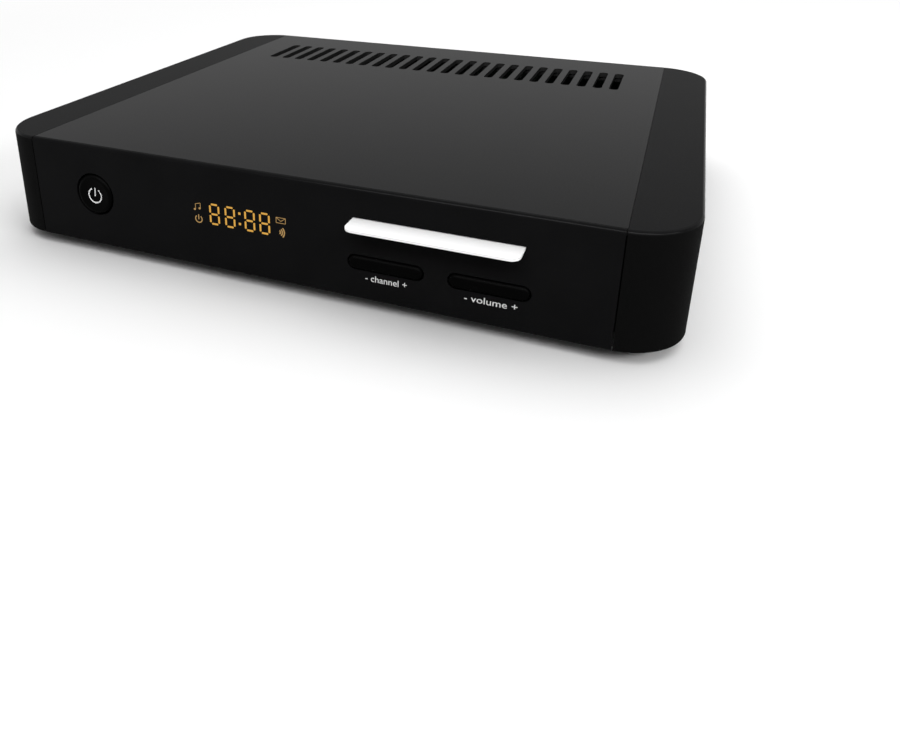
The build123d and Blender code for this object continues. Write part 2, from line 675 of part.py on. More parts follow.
def rocker(x):
    """Pill-shaped key on two trunnions, with a post behind each end."""
    z = UNDER_Z + ROCKER_Z
    back_y = FRONT_Y + ROCKER_CAP_BACK
    cap = plate_y(Pos(x, z) * SlotOverall(ROCKER_WIDTH, ROCKER_HEIGHT), (FRONT_Y - ROCKER_PROUD, back_y))
    cap = fillet(cap.faces().sort_by(Axis.Y)[0].edges(), ROCKER_EDGE_RADIUS)
    hub_end = PIVOT_Y + TRUNNION_RADIUS
    part = cap + block(span(x, ROCKER_HUB_WIDTH), (back_y, hub_end), span(z, ROCKER_HUB_HEIGHT))
    pin_length = ROCKER_HUB_HEIGHT + 2 * TRUNNION_LENGTH
    part += rod_z(x, PIVOT_Y, TRUNNION_RADIUS, span(z, pin_length))
    for side in (-1, 1):
        post_x = x + side * ROCKER_POST_SPACING / 2
        part += rod_y(post_x, z, ROCKER_POST_RADIUS, (back_y, PLUNGER_TIP_Y - ROCKER_POST_GAP))
    return part


def front_board():
    """Upright circuit board behind the carrier, lower on the right so that the card passes over it."""
    half = CARRIER_HALF - FRONT_BOARD_SIDE_GAP
    y = (FRONT_BOARD_Y, FRONT_BOARD_BACK_Y)
    bottom = UNDER_Z + FRONT_BOARD_BOTTOM
    part = block((-half, FRONT_BOARD_STEP_X), y, (bottom, UNDER_Z + FRONT_BOARD_HIGH_TOP))
    part += block((FRONT_BOARD_STEP_X, half), y, (bottom, UNDER_Z + FRONT_BOARD_LOW_TOP))
    for x, z in front_post_places():
        part -= rod_y(x, UNDER_Z + z, SCREW_HOLE_RADIUS, y)
    return part


def display_module():
    """Clock display: a block with its face set back inside a narrow frame."""
    z = UNDER_Z + DISPLAY_Z
    face_y = FRONT_BOARD_Y - DISPLAY_DEPTH
    part = block(span(DISPLAY_X, DISPLAY_WIDTH), (face_y, FRONT_BOARD_Y), span(z, DISPLAY_HEIGHT))
    pane_x = span(DISPLAY_X, DISPLAY_WIDTH - 2 * DISPLAY_FRAME)
    pane_z = span(z, DISPLAY_HEIGHT - 2 * DISPLAY_FRAME)
    return part - block(pane_x, (face_y, face_y + DISPLAY_FACE_DEPTH), pane_z)


def remote_receiver():
    """Receiver of the remote control: a small block with a domed lens."""
    z = UNDER_Z + REMOTE_Z
    face_y = FRONT_BOARD_Y - REMOTE_DEPTH
    part = block(span(REMOTE_X, REMOTE_WIDTH), (face_y, FRONT_BOARD_Y), span(z, REMOTE_HEIGHT))
    return part + Pos(REMOTE_X, face_y, z) * Sphere(REMOTE_DOME_RADIUS)


def smart_card():
    """Card of the standard size with rounded corners and a shallow pocket for its contact pad."""
    y = CARD_FRONT_Y + CARD_LENGTH / 2
    outline = RectangleRounded(CARD_WIDTH, CARD_LENGTH, CARD_CORNER)
    part = plate_z(Pos(CARD_X, y) * outline, span(CARD_CENTRE_Z, CARD_THICKNESS))
    return part - card_contacts()


def card_contacts():
    """Contact pad, flush with the card's underside near its inner end."""
    under = CARD_CENTRE_Z - CARD_THICKNESS / 2
    return block(span(PAD_X, PAD_WIDTH), span(PAD_Y, PAD_LENGTH), (under, under + PAD_THICKNESS))


def spring_blocks(gap):
    """The reader's contact springs as short strips, grown by a gap for their pockets."""
    top = CARD_CENTRE_Z - CARD_THICKNESS / 2 - SPRING_UNDER_CARD
    strips = []
    for row in range(SPRING_ROWS):
        y = PAD_Y + (row - (SPRING_ROWS - 1) / 2) * SPRING_ROW_PITCH
        for column in range(SPRINGS_PER_ROW):
            x = PAD_X + (column - (SPRINGS_PER_ROW - 1) / 2) * SPRING_PITCH
            x_limits = span(x, SPRING_WIDTH + 2 * gap)
            y_limits = span(y, SPRING_LENGTH + 2 * gap)
            strips.append(block(x_limits, y_limits, (CHANNEL_FLOOR_Z - SPRING_POCKET, top)))
    return strips


def reader_springs():
    """Contact springs in the reader's floor."""
    return Compound(spring_blocks(0))


def card_reader():
    """Sleeve that guides and stops the card, with pockets for the contact springs."""
    x = span(CARD_X, READER_WIDTH)
    part = block(x, (READER_FRONT_Y, READER_BACK_Y), (READER_Z, CHANNEL_ROOF_Z + READER_ROOF))
    channel_x = span(CARD_X, CARD_WIDTH + 2 * FIT_GAP)
    channel_end = READER_BACK_Y - READER_BACK_WALL
    part -= block(channel_x, (READER_FRONT_Y, channel_end), (CHANNEL_FLOOR_Z, CHANNEL_ROOF_Z))
    mouth_z = (CHANNEL_FLOOR_Z - READER_MOUTH, CHANNEL_ROOF_Z + READER_MOUTH)
    part -= block(channel_x, (READER_FRONT_Y, READER_FRONT_Y + READER_MOUTH), mouth_z)
    for pocket in spring_blocks(PLUNGER_GAP):
        part -= pocket
    return part


def card_board():
    """Small circuit board that carries the card reader on four tall posts."""
    y = (CARD_BOARD_FRONT_Y, CARD_BOARD_BACK_Y)
    part = block(span(CARD_X, CARD_BOARD_WIDTH), y, (CARD_BOARD_Z, READER_Z))
    for post_x, post_y in card_post_places():
        part -= rod_z(post_x, post_y, SCREW_HOLE_RADIUS, (CARD_BOARD_Z, READER_Z))
    return part


def main_board():
    """Main circuit board on the tray's posts."""
    y = (MAIN_BOARD_FRONT_Y, MAIN_BOARD_BACK_Y)
    part = block((-MAIN_BOARD_HALF, MAIN_BOARD_HALF), y, (MAIN_BOARD_Z, MAIN_TOP_Z))
    for post_x, post_y in main_post_places():
        part -= rod_z(post_x, post_y, SCREW_HOLE_RADIUS, (MAIN_BOARD_Z, MAIN_TOP_Z))
    return part


def main_chip():
    """Main processor package."""
    z = (MAIN_TOP_Z, MAIN_TOP_Z + CHIP_THICKNESS)
    return block(span(CHIP_X, CHIP_SIZE), span(CHIP_Y, CHIP_SIZE), z)


def heat_sink():
    """Finned cooler on the main chip."""
    base_z = MAIN_TOP_Z + CHIP_THICKNESS
    fin_z = (base_z + SINK_BASE, base_z + SINK_BASE + SINK_FIN_HEIGHT)
    part = block(span(CHIP_X, SINK_SIZE), span(CHIP_Y, SINK_SIZE), (base_z, base_z + SINK_BASE))
    step = (SINK_SIZE - SINK_FIN_THICKNESS) / (SINK_FIN_COUNT - 1)
    for i in range(SINK_FIN_COUNT):
        x = CHIP_X - SINK_SIZE / 2 + SINK_FIN_THICKNESS / 2 + i * step
        part += block(span(x, SINK_FIN_THICKNESS), span(CHIP_Y, SINK_SIZE), fin_z)
    return part


def memory_chips():
    """Two memory packages beside the main chip."""
    x = CHIP_X - SINK_SIZE / 2 - MEMORY_GAP - MEMORY_WIDTH / 2
    z = (MAIN_TOP_Z, MAIN_TOP_Z + MEMORY_THICKNESS)
    chips = []
    for side in (-1, 1):
        y = CHIP_Y + side * MEMORY_SPACING / 2
        chips.append(block(span(x, MEMORY_WIDTH), span(y, MEMORY_DEPTH), z))
    return Compound(chips)


def capacitors():
    """Row of round capacitors behind the power inlet."""
    cans = []
    for i in range(CAPACITOR_COUNT):
        y = REAR_Y - CAPACITOR_FROM_REAR - i * CAPACITOR_PITCH
        x = MAIN_BOARD_HALF - CAPACITOR_INSET
        can = rod_z(x, y, CAPACITOR_RADIUS, (MAIN_TOP_Z, MAIN_TOP_Z + CAPACITOR_HEIGHT))
        cans.append(chamfer(can.edges().sort_by(Axis.Z)[-1], CAPACITOR_EDGE))
    return Compound(cans)


def power_coils():
    """Two square coils of the power supply."""
    x = CHIP_X + SINK_SIZE / 2 + COIL_GAP + COIL_SIZE / 2
    outline = RectangleRounded(COIL_SIZE, COIL_SIZE, COIL_CORNER)
    z = (MAIN_TOP_Z, MAIN_TOP_Z + COIL_HEIGHT)
    places = [CHIP_Y + side * COIL_SPACING / 2 for side in (-1, 1)]
    return Compound([plate_z(Pos(x, y) * outline, z) for y in places])


def tuner_can():
    """Screened tuner box of sheet metal, open below, with a lid that laps over its walls."""
    x = span(CAN_X, CAN_WIDTH - 2 * CAN_LID_STEP)
    y = (CAN_BACK_Y - CAN_DEPTH + CAN_LID_STEP, CAN_BACK_Y - CAN_LID_STEP)
    part = block(x, y, (MAIN_TOP_Z, MAIN_TOP_Z + CAN_HEIGHT))
    lid_z = (MAIN_TOP_Z + CAN_HEIGHT - CAN_LID, MAIN_TOP_Z + CAN_HEIGHT)
    part += block(span(CAN_X, CAN_WIDTH), (CAN_BACK_Y - CAN_DEPTH, CAN_BACK_Y), lid_z)
    for coax_x in coax_places():
        part += rod_y(coax_x, COAX_Z, COAX_FLANGE_RADIUS, (y[1], CAN_BACK_Y))
    hollow_x = (x[0] + CAN_WALL, x[1] - CAN_WALL)
    hollow_y = (y[0] + CAN_WALL, y[1] - CAN_WALL)
    return part - block(hollow_x, hollow_y, (MAIN_TOP_Z, MAIN_TOP_Z + CAN_HEIGHT - CAN_WALL))


def coax_places():
    """The two coaxial connectors, along X."""
    return [CAN_X + side * COAX_SPACING / 2 for side in (-1, 1)]


def coax_connectors():
    """Aerial connectors: a flange inside the panel, a neck through it and the barrel outside."""
    neck_end = REAR_Y + COAX_NUT_THICKNESS
    parts = []
    for x in coax_places():
        barrel = rod_y(x, COAX_Z, COAX_RADIUS, (neck_end, COAX_TIP_Y))
        barrel = chamfer(barrel.edges().sort_by(Axis.Y)[-1], COAX_CHAMFER)
        barrel += rod_y(x, COAX_Z, COAX_NECK_RADIUS, (REAR_WALL_Y, neck_end))
        barrel += rod_y(x, COAX_Z, COAX_FLANGE_RADIUS, (CAN_BACK_Y, REAR_WALL_Y))
        parts.append(barrel - rod_y(x, COAX_Z, COAX_BORE_RADIUS, (CAN_BACK_Y, COAX_TIP_Y)))
    return Compound(parts)


def coax_insulators():
    """Plastic core of each aerial connector, with the hole for the centre wire."""
    y = (CAN_BACK_Y, COAX_TIP_Y - COAX_INSULATOR_SET_BACK)
    parts = []
    for x in coax_places():
        core = rod_y(x, COAX_Z, COAX_BORE_RADIUS - ROUND_GAP, y)
        parts.append(core - rod_y(x, COAX_Z, COAX_PIN_HOLE_RADIUS, y))
    return Compound(parts)


def coax_nuts():
    """Hexagon nuts that draw the aerial connectors against the rear panel."""
    y = (REAR_Y, REAR_Y + COAX_NUT_THICKNESS)
    hexagon = RegularPolygon(COAX_NUT_FLATS / 2, 6, major_radius=False)
    parts = []
    for x in coax_places():
        nut = plate_y(Pos(x, COAX_Z) * hexagon, y)
        parts.append(nut - rod_y(x, COAX_Z, COAX_NECK_RADIUS + ROUND_GAP, y))
    return Compound(parts)


def phono_x(side):
    """Place of one phono jack along X."""
    return PHONO_X + side * PHONO_PITCH


def phono_block():
    """Moulded block on the main board that carries the three phono jacks."""
    y = (REAR_WALL_Y - PHONO_BLOCK_DEPTH, REAR_WALL_Y)
    z = (MAIN_TOP_Z, MAIN_TOP_Z + PHONO_BLOCK_HEIGHT)
    return block(span(PHONO_X, PHONO_BLOCK_WIDTH), y, z)


def phono_ring(side):
    """Coloured collar through the rear panel, with the core inside the jack's barrel."""
    x = phono_x(side)
    tip_y = PHONO_RING_Y + PHONO_LENGTH
    part = rod_y(x, PHONO_CENTRE_Z, PHONO_RING_RADIUS, (REAR_WALL_Y, PHONO_RING_Y))
    part += rod_y(x, PHONO_CENTRE_Z, PHONO_RADIUS - PHONO_WALL - ROUND_GAP, (PHONO_RING_Y, tip_y))
    return part - rod_y(x, PHONO_CENTRE_Z, PHONO_PIN_HOLE_RADIUS, (PHONO_RING_Y, tip_y))


def phono_barrels():
    """Metal sleeves of the phono jacks."""
    y = (PHONO_RING_Y, PHONO_RING_Y + PHONO_LENGTH)
    parts = []
    for side in PHONO_SIDES:
        x = phono_x(side)
        barrel = rod_y(x, PHONO_CENTRE_Z, PHONO_RADIUS, y)
        parts.append(barrel - rod_y(x, PHONO_CENTRE_Z, PHONO_RADIUS - PHONO_WALL, y))
    return Compound(parts)


def video_outline(margin):
    """Mouth of the digital video socket, narrower at the bottom, grown by a margin."""
    half = VIDEO_WIDTH / 2 + margin
    low = MAIN_TOP_Z - margin
    high = MAIN_TOP_Z + VIDEO_HEIGHT + margin
    foot = half - VIDEO_CHAMFER
    points = [(foot, low), (half, low + VIDEO_CHAMFER), (half, high)]
    mirrored = [(-x, z) for x, z in reversed(points)]
    return make_face(Polyline(*points, *mirrored, close=True))


def digital_video_socket():
    """Sheet-metal socket with slanted lower corners."""
    y = (SOCKET_FACE_Y - VIDEO_DEPTH, SOCKET_FACE_Y)
    part = plate_y(Pos(VIDEO_X, 0) * video_outline(0), y)
    return part - plate_y(Pos(VIDEO_X, 0) * video_outline(-SHELL_WALL), (y[0] + SHELL_WALL, y[1]))


def data_socket():
    """Sheet-metal socket with a plain oblong mouth."""
    x = span(DATA_X, DATA_WIDTH)
    y = (SOCKET_FACE_Y - DATA_DEPTH, SOCKET_FACE_Y)
    z = (MAIN_TOP_Z, MAIN_TOP_Z + DATA_HEIGHT)
    hollow_x = span(DATA_X, DATA_WIDTH - 2 * SHELL_WALL)
    hollow_z = (z[0] + SHELL_WALL, z[1] - SHELL_WALL)
    return block(x, y, z) - block(hollow_x, (y[0] + SHELL_WALL, y[1]), hollow_z)


def socket_tongue(x, width, height, depth):
    """Flat contact carrier in the middle of a socket, standing on its back wall."""
    y = (SOCKET_FACE_Y - depth + SHELL_WALL, SOCKET_FACE_Y - TONGUE_SET_BACK)
    across = width - 2 * (SHELL_WALL + TONGUE_SIDE_GAP)
    return block(span(x, across), y, span(MAIN_TOP_Z + height / 2, TONGUE_THICKNESS))


def socket_tongues():
    """Contact carriers of the two sheet-metal sockets."""
    video = socket_tongue(VIDEO_X, VIDEO_WIDTH, VIDEO_HEIGHT, VIDEO_DEPTH)
    data = socket_tongue(DATA_X, DATA_WIDTH, DATA_HEIGHT, DATA_DEPTH)
    return Compound([video, data])


def network_jack():
    """Modular network jack with its latch notch."""
    y = (SOCKET_FACE_Y - NETWORK_DEPTH, SOCKET_FACE_Y)
    part = block(span(NETWORK_X, NETWORK_WIDTH), y, (MAIN_TOP_Z, MAIN_TOP_Z + NETWORK_HEIGHT))
    floor = MAIN_TOP_Z + NETWORK_MOUTH_FLOOR
    roof = floor + NETWORK_MOUTH_HEIGHT
    deep = (SOCKET_FACE_Y - NETWORK_MOUTH_DEPTH, SOCKET_FACE_Y)
    part -= block(span(NETWORK_X, NETWORK_MOUTH_WIDTH), deep, (floor, roof))
    return part - block(span(NETWORK_X, NETWORK_LATCH_WIDTH), deep, (roof, roof + NETWORK_LATCH_HEIGHT))


def power_inlet():
    """Round low-voltage power inlet."""
    y = (SOCKET_FACE_Y - INLET_DEPTH, SOCKET_FACE_Y)
    part = block(span(INLET_X, INLET_WIDTH), y, (MAIN_TOP_Z, MAIN_TOP_Z + INLET_HEIGHT))
    return part - rod_y(INLET_X, INLET_CENTRE_Z, INLET_BORE_RADIUS, (y[1] - INLET_BORE_DEPTH, y[1]))


def inlet_pin():
    """Centre pin of the power inlet, standing on the floor of its bore."""
    floor = SOCKET_FACE_Y - INLET_BORE_DEPTH
    return rod_y(INLET_X, INLET_CENTRE_Z, INLET_PIN_RADIUS, (floor, floor + INLET_PIN_LENGTH))


def port(x, width, height):
    """Opening of the rear panel round an oblong socket that stands on the main board."""
    y = (REAR_WALL_Y, REAR_Y)
    z = (MAIN_TOP_Z - PORT_CLEARANCE, MAIN_TOP_Z + height + PORT_CLEARANCE)
    return block(span(x, width + 2 * PORT_CLEARANCE), y, z)


def rear_panel():
    """Rear wall with an opening for each socket."""
    y = (REAR_WALL_Y, REAR_Y)
    part = wall_panel(COVER_HALF, y, (REAR_WALL_Y, REAR_Y - EDGE_RADIUS))
    part -= port(DATA_X, DATA_WIDTH, DATA_HEIGHT)
    part -= port(NETWORK_X, NETWORK_WIDTH, NETWORK_HEIGHT)
    part -= port(INLET_X, INLET_WIDTH, INLET_HEIGHT)
    part -= plate_y(Pos(VIDEO_X, 0) * video_outline(PORT_CLEARANCE), y)
    for side in PHONO_SIDES:
        part -= rod_y(phono_x(side), PHONO_CENTRE_Z, PHONO_RING_RADIUS + PORT_CLEARANCE, y)
    for x in coax_places():
        part -= rod_y(x, COAX_Z, COAX_NECK_RADIUS + PORT_CLEARANCE, y)
    return part


def ribbon_level():
    """Height at which a ribbon enters a socket on the main board."""
    return MAIN_TOP_Z + RIBBON_SOCKET_HEIGHT / 2


def main_socket_y():
    """Front limit of the ribbon sockets on the main board."""
    return MAIN_BOARD_FRONT_Y + RIBBON_BOARD_INSET


def ribbon(x, start_y, start_z):
    """Flat cable that runs back from one socket and steps down to a socket on the main board."""
    end_y = main_socket_y()
    first = Vector(x, start_y, start_z)
    last = Vector(x, end_y, ribbon_level())
    turn_a = Vector(x, start_y + RIBBON_LEAD, start_z)
    turn_b = Vector(x, end_y - RIBBON_LEAD, ribbon_level())
    path = FilletPolyline(first, turn_a, turn_b, last, radius=RIBBON_RADIUS)
    across = Plane(origin=first, x_dir=(1, 0, 0), z_dir=(0, 1, 0))
    return sweep(across * Rectangle(RIBBON_WIDTH, RIBBON_THICKNESS), path=path)


def card_ribbon_z():
    """Height of the card board's ribbon below that board."""
    return CARD_BOARD_Z - RIBBON_SOCKET_HEIGHT / 2


def card_ribbon_y():
    """Rear limit of the socket under the card board."""
    return CARD_BOARD_BACK_Y - CARD_RIBBON_FROM_REAR


def front_ribbon():
    """Flat cable from the front board to the main board."""
    return ribbon(FRONT_RIBBON_X, FRONT_BOARD_BACK_Y + RIBBON_SOCKET_DEPTH, UNDER_Z + FRONT_RIBBON_Z)


def card_ribbon():
    """Flat cable from the card board down to the main board."""
    return ribbon(CARD_X, card_ribbon_y(), card_ribbon_z())


def ribbon_socket(x, back_y, centre_z):
    """Socket that takes the end of a ribbon."""
    y = (back_y - RIBBON_SOCKET_DEPTH, back_y)
    return block(span(x, RIBBON_WIDTH + RIBBON_SOCKET_SPARE), y, span(centre_z, RIBBON_SOCKET_HEIGHT))


def ribbon_sockets():
    """Sockets of both ribbons on the front board, the card board and the main board."""
    main_back = main_socket_y() + RIBBON_SOCKET_DEPTH
    sockets = [ribbon_socket(x, main_back, ribbon_level()) for x in (FRONT_RIBBON_X, CARD_X)]
    front_back = FRONT_BOARD_BACK_Y + RIBBON_SOCKET_DEPTH
    sockets.append(ribbon_socket(FRONT_RIBBON_X, front_back, UNDER_Z + FRONT_RIBBON_Z))
    sockets.append(ribbon_socket(CARD_X, card_ribbon_y(), card_ribbon_z()))
    return Compound(sockets)


def nodes():
    """Every piece of the receiver by its name."""
    return {
        "bottom_tray": bottom_tray(),
        "rubber_feet": rubber_feet(),
        "left_cheek": cheek(-1),
        "right_cheek": cheek(1),
        "front_fascia": front_fascia(),
        "front_carrier": front_carrier(),
        "rear_panel": rear_panel(),
        "top_cover": top_cover(),
        "case_screws": case_screws(),
        "power_button": power_button(),
        "power_plunger": plunger(POWER_X, POWER_Z),
        "channel_rocker": rocker(CHANNEL_X),
        "volume_rocker": rocker(VOLUME_X),
        "smart_card": smart_card(),
        "card_contacts": card_contacts(),
        "front_board": front_board(),
        "front_board_screws": front_board_screws(),
        "display_module": display_module(),
        "remote_receiver": remote_receiver(),
        "tact_switches": tact_switches(),
        "switch_plungers": Compound([plunger(x, z) for x, z in rocker_switch_places()]),
        "card_reader": card_reader(),
        "reader_springs": reader_springs(),
        "card_board": card_board(),
        "card_board_screws": card_board_screws(),
        "main_board": main_board(),
        "board_screws": board_screws(),
        "main_chip": main_chip(),
        "heat_sink": heat_sink(),
        "memory_chips": memory_chips(),
        "capacitors": capacitors(),
        "power_coils": power_coils(),
        "tuner_can": tuner_can(),
        "coax_connectors": coax_connectors(),
        "coax_insulators": coax_insulators(),
        "coax_nuts": coax_nuts(),
        "phono_block": phono_block(),
        "phono_ring_left": phono_ring(PHONO_SIDES[0]),
        "phono_ring_middle": phono_ring(PHONO_SIDES[1]),
        "phono_ring_right": phono_ring(PHONO_SIDES[2]),
        "phono_barrels": phono_barrels(),
        "digital_video_socket": digital_video_socket(),
        "data_socket": data_socket(),
        "socket_tongues": socket_tongues(),
        "network_jack": network_jack(),
        "power_inlet": power_inlet(),
        "inlet_pin": inlet_pin(),
        "front_ribbon": front_ribbon(),
        "card_ribbon": card_ribbon(),
        "ribbon_sockets": ribbon_sockets(),
    }


def main():
    """Build every piece and write each one to its own file."""
    os.makedirs("parts", exist_ok=True)
    for name, shape in nodes().items():
        export_step(shape, f"parts/{name}.step")


if __name__ == "__main__":
    main()
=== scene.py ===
"""Looks of a flat television receiver: its finishes, lit clock, printed signs and the studio around it.

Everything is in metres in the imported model's own frame: +X to the right seen from the front,
the front faces -Y and +Z is up. Sizes are written in millimetres and turned into metres by MM.
"""

import json
import logging
import math
from collections.abc import Callable
from dataclasses import dataclass
from enum import Enum

import bpy
import numpy as np
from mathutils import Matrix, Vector

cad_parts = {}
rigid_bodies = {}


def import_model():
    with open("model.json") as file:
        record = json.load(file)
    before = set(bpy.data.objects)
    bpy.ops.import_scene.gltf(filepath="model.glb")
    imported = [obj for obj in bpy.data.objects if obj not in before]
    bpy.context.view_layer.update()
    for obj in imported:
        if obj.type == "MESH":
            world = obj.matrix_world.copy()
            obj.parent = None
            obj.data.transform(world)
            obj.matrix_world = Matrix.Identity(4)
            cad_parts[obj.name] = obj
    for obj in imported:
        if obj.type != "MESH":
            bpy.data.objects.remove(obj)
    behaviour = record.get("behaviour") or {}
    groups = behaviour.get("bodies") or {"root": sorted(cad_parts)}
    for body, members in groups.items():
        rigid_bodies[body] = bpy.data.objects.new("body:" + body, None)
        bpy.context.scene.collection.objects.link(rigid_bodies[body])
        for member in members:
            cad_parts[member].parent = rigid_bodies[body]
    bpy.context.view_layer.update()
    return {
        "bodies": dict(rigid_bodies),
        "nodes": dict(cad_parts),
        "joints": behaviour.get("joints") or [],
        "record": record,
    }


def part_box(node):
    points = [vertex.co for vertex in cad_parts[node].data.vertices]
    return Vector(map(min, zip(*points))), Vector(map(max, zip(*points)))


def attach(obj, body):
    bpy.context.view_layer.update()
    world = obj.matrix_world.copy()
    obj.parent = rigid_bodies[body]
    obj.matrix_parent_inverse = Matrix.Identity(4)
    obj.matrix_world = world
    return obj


MM = 0.001
IMAGE_WIDTH = 900
IMAGE_HEIGHT = 740
FULL_TURN = 360.0
BLACK = (0.0, 0.0, 0.0, 1.0)
WHITE = (1.0, 1.0, 1.0, 1.0)

# Bodies that carry the scene's pieces
HOUSING = "housing"
POWER_KEY = "power_button"

# Scale of a drawn-out pattern along its lines, which makes it 25 times as long
DRAWN_OUT = 0.04

# Middle range of a pattern, which is spread over the whole range
PATTERN_LOW = 0.3
PATTERN_HIGH = 0.7

# How far the normal points up on walls, on rounded edges and on level faces
WALL_SLOPE = 0.2
EDGE_SLOPES = (0.45, 0.85)
LEVEL_SLOPE = 0.97

# Turn of Blender's wave texture over one metre at a scale of 1, in radians
WAVE_TURN = 20.0

# Points of a short arc and of a power sign's ring
ARC_POINTS = 25
RING_POINTS = 49

# Width of a pointed bar's tips, as a share of the bar's width
TIP_SHARE = 0.15

# Lower end of a power sign's bar, as a share of the ring's radius
BAR_FOOT = -0.1

# Words under the rockers, with their left and right edges and their height over the front's lower edge in mm
LABELS = {
    "channel_label": ("- channel +", (27.55, 41.55)),
    "volume_label": ("- volume +", (59.95, 76.3)),
}
LABEL_RISE = 6.6

Pair = tuple[float, float]
Triple = tuple[float, float, float]
Colour = Triple
Depth = Callable[[np.ndarray, np.ndarray], np.ndarray]
log = logging.getLogger("receiver")


class Lay(Enum):
    """Which way the fine lines of a brushed or striped finish run."""

    ALONG_X = (DRAWN_OUT, 1.0, 1.0)
    ALONG_Y = (1.0, DRAWN_OUT, 1.0)
    EVEN = (1.0, 1.0, 1.0)


class ShaderSheet:
    """A material's node tree, with short ways to add and join its nodes."""

    def __init__(self, name: str) -> None:
        """Start an empty material with one principled shader.

        Args:
            name: Name of the material.
        """
        self.material = bpy.data.materials.new(name)
        self.material.use_nodes = True
        self.tree = self.material.node_tree
        self.shader = self.tree.nodes["Principled BSDF"]
        self.place = self.tree.nodes.new("ShaderNodeTexCoord").outputs["Object"]

    def settle(self, **values: object) -> None:
        """Set constants on the shader's own sockets.

        Args:
            values: Socket names with underscores for spaces, and their values.
        """
        for name, value in values.items():
            self.shader.inputs[name.replace("_", " ")].default_value = value

    def node(self, kind: str, **links: object) -> bpy.types.Node:
        """Add a node and fill its inputs.

        Args:
            kind: Blender's name of the node.
            links: Input names, each with a socket to join or a value to set.

        Returns:
            The new node.
        """
        made = self.tree.nodes.new(kind)
        for name, value in links.items():
            socket = made.inputs[name.replace("_", " ")]
            if isinstance(value, bpy.types.NodeSocket):
                self.tree.links.new(value, socket)
            else:
                socket.default_value = value
        return made

    def noise(self, size_mm: float, lay: Lay = Lay.EVEN, detail: float = 3.0) -> bpy.types.NodeSocket:
        """Cloudy pattern on the object's own coordinates.

        Args:
            size_mm: Size of one cloud.
            lay: Direction in which the clouds are drawn out.
            detail: How many finer layers are added.

        Returns:
            The pattern's strength, from 0 to 1.
        """
        mapping = self.node("ShaderNodeMapping", Vector=self.place, Scale=lay.value)
        place = mapping.outputs["Vector"]
        made = self.node("ShaderNodeTexNoise", Vector=place, Scale=1 / (size_mm * MM), Detail=detail)
        return made.outputs["Fac"]

    def spread(self, factor: bpy.types.NodeSocket, low: float, high: float) -> bpy.types.NodeSocket:
        """Carry a pattern's middle range onto the range from low to high.

        Args:
            factor: The pattern.
            low: Value at the low end of its middle range.
            high: Value at the high end.

        Returns:
            The value at each place.
        """
        made = self.node("ShaderNodeMapRange", Value=factor, To_Min=low, To_Max=high)
        made.inputs["From Min"].default_value = PATTERN_LOW
        made.inputs["From Max"].default_value = PATTERN_HIGH
        return made.outputs["Result"]

    def mix(
        self, factor: bpy.types.NodeSocket, first: Colour | bpy.types.NodeSocket, second: Colour
    ) -> bpy.types.NodeSocket:
        """Blend two colours by a pattern.

        Args:
            factor: The pattern, 0 for the first colour and 1 for the second.
            first: Colour at 0, or the socket that gives it.
            second: Colour at 1.

        Returns:
            The blended colour.
        """
        made = self.tree.nodes.new("ShaderNodeMix")
        made.data_type = "RGBA"
        self.tree.links.new(factor, made.inputs["Factor"])
        colours = [socket for socket in made.inputs if socket.type == "RGBA"]
        for socket, colour in zip(colours, (first, second)):
            if isinstance(colour, bpy.types.NodeSocket):
                self.tree.links.new(colour, socket)
            else:
                socket.default_value = (*colour, 1.0)
        return next(socket for socket in made.outputs if socket.type == "RGBA")

    def times(self, first: bpy.types.NodeSocket, second: bpy.types.NodeSocket) -> bpy.types.NodeSocket:
        """Product of two values.

        Args:
            first: One value.
            second: The other value.

        Returns:
            The product at each place.
        """
        made = self.tree.nodes.new("ShaderNodeMath")
        made.operation = "MULTIPLY"
        self.tree.links.new(first, made.inputs[0])
        self.tree.links.new(second, made.inputs[1])
        return made.outputs[0]

    def feed(self, name: str, socket: bpy.types.NodeSocket) -> None:
        """Join a socket to one of the shader's inputs."""
        self.tree.links.new(socket, self.shader.inputs[name])

    def by_slope(self, side: float, edge: float, top: float) -> bpy.types.NodeSocket:
        """A value that goes from upright faces over rounded upper edges to level faces.

        Args:
            side: Value on upright faces.
            edge: Value on rounded edges, about half way from side to top.
            top: Value on level faces.

        Returns:
            The value at each place.
        """
        normal = self.tree.nodes.new("ShaderNodeNewGeometry").outputs["Normal"]
        parts = self.node("ShaderNodeSeparateXYZ", Vector=normal)
        ramp = self.node("ShaderNodeValToRGB", Fac=parts.outputs["Z"])
        points = ramp.color_ramp.elements
        points[0].position = WALL_SLOPE
        points[1].position = LEVEL_SLOPE
        points[0].color = (side, side, side, 1.0)
        points[1].color = (top, top, top, 1.0)
        for place in EDGE_SLOPES:
            points.new(place).color = (edge, edge, edge, 1.0)
        return ramp.outputs["Color"]

    def emboss(self, height: bpy.types.NodeSocket, depth_mm: float, strength: float) -> None:
        """Turn a pattern into fine relief on the surface.

        Args:
            height: The pattern.
            depth_mm: Depth of the relief.
            strength: Share of the relief that shows.
        """
        made = self.node("ShaderNodeBump", Height=height, Distance=depth_mm * MM, Strength=strength)
        self.feed("Normal", made.outputs["Normal"])


def shaded(colour: Colour, share: float) -> Colour:
    """The colour multiplied by a share of itself."""
    return tuple(channel * share for channel in colour)


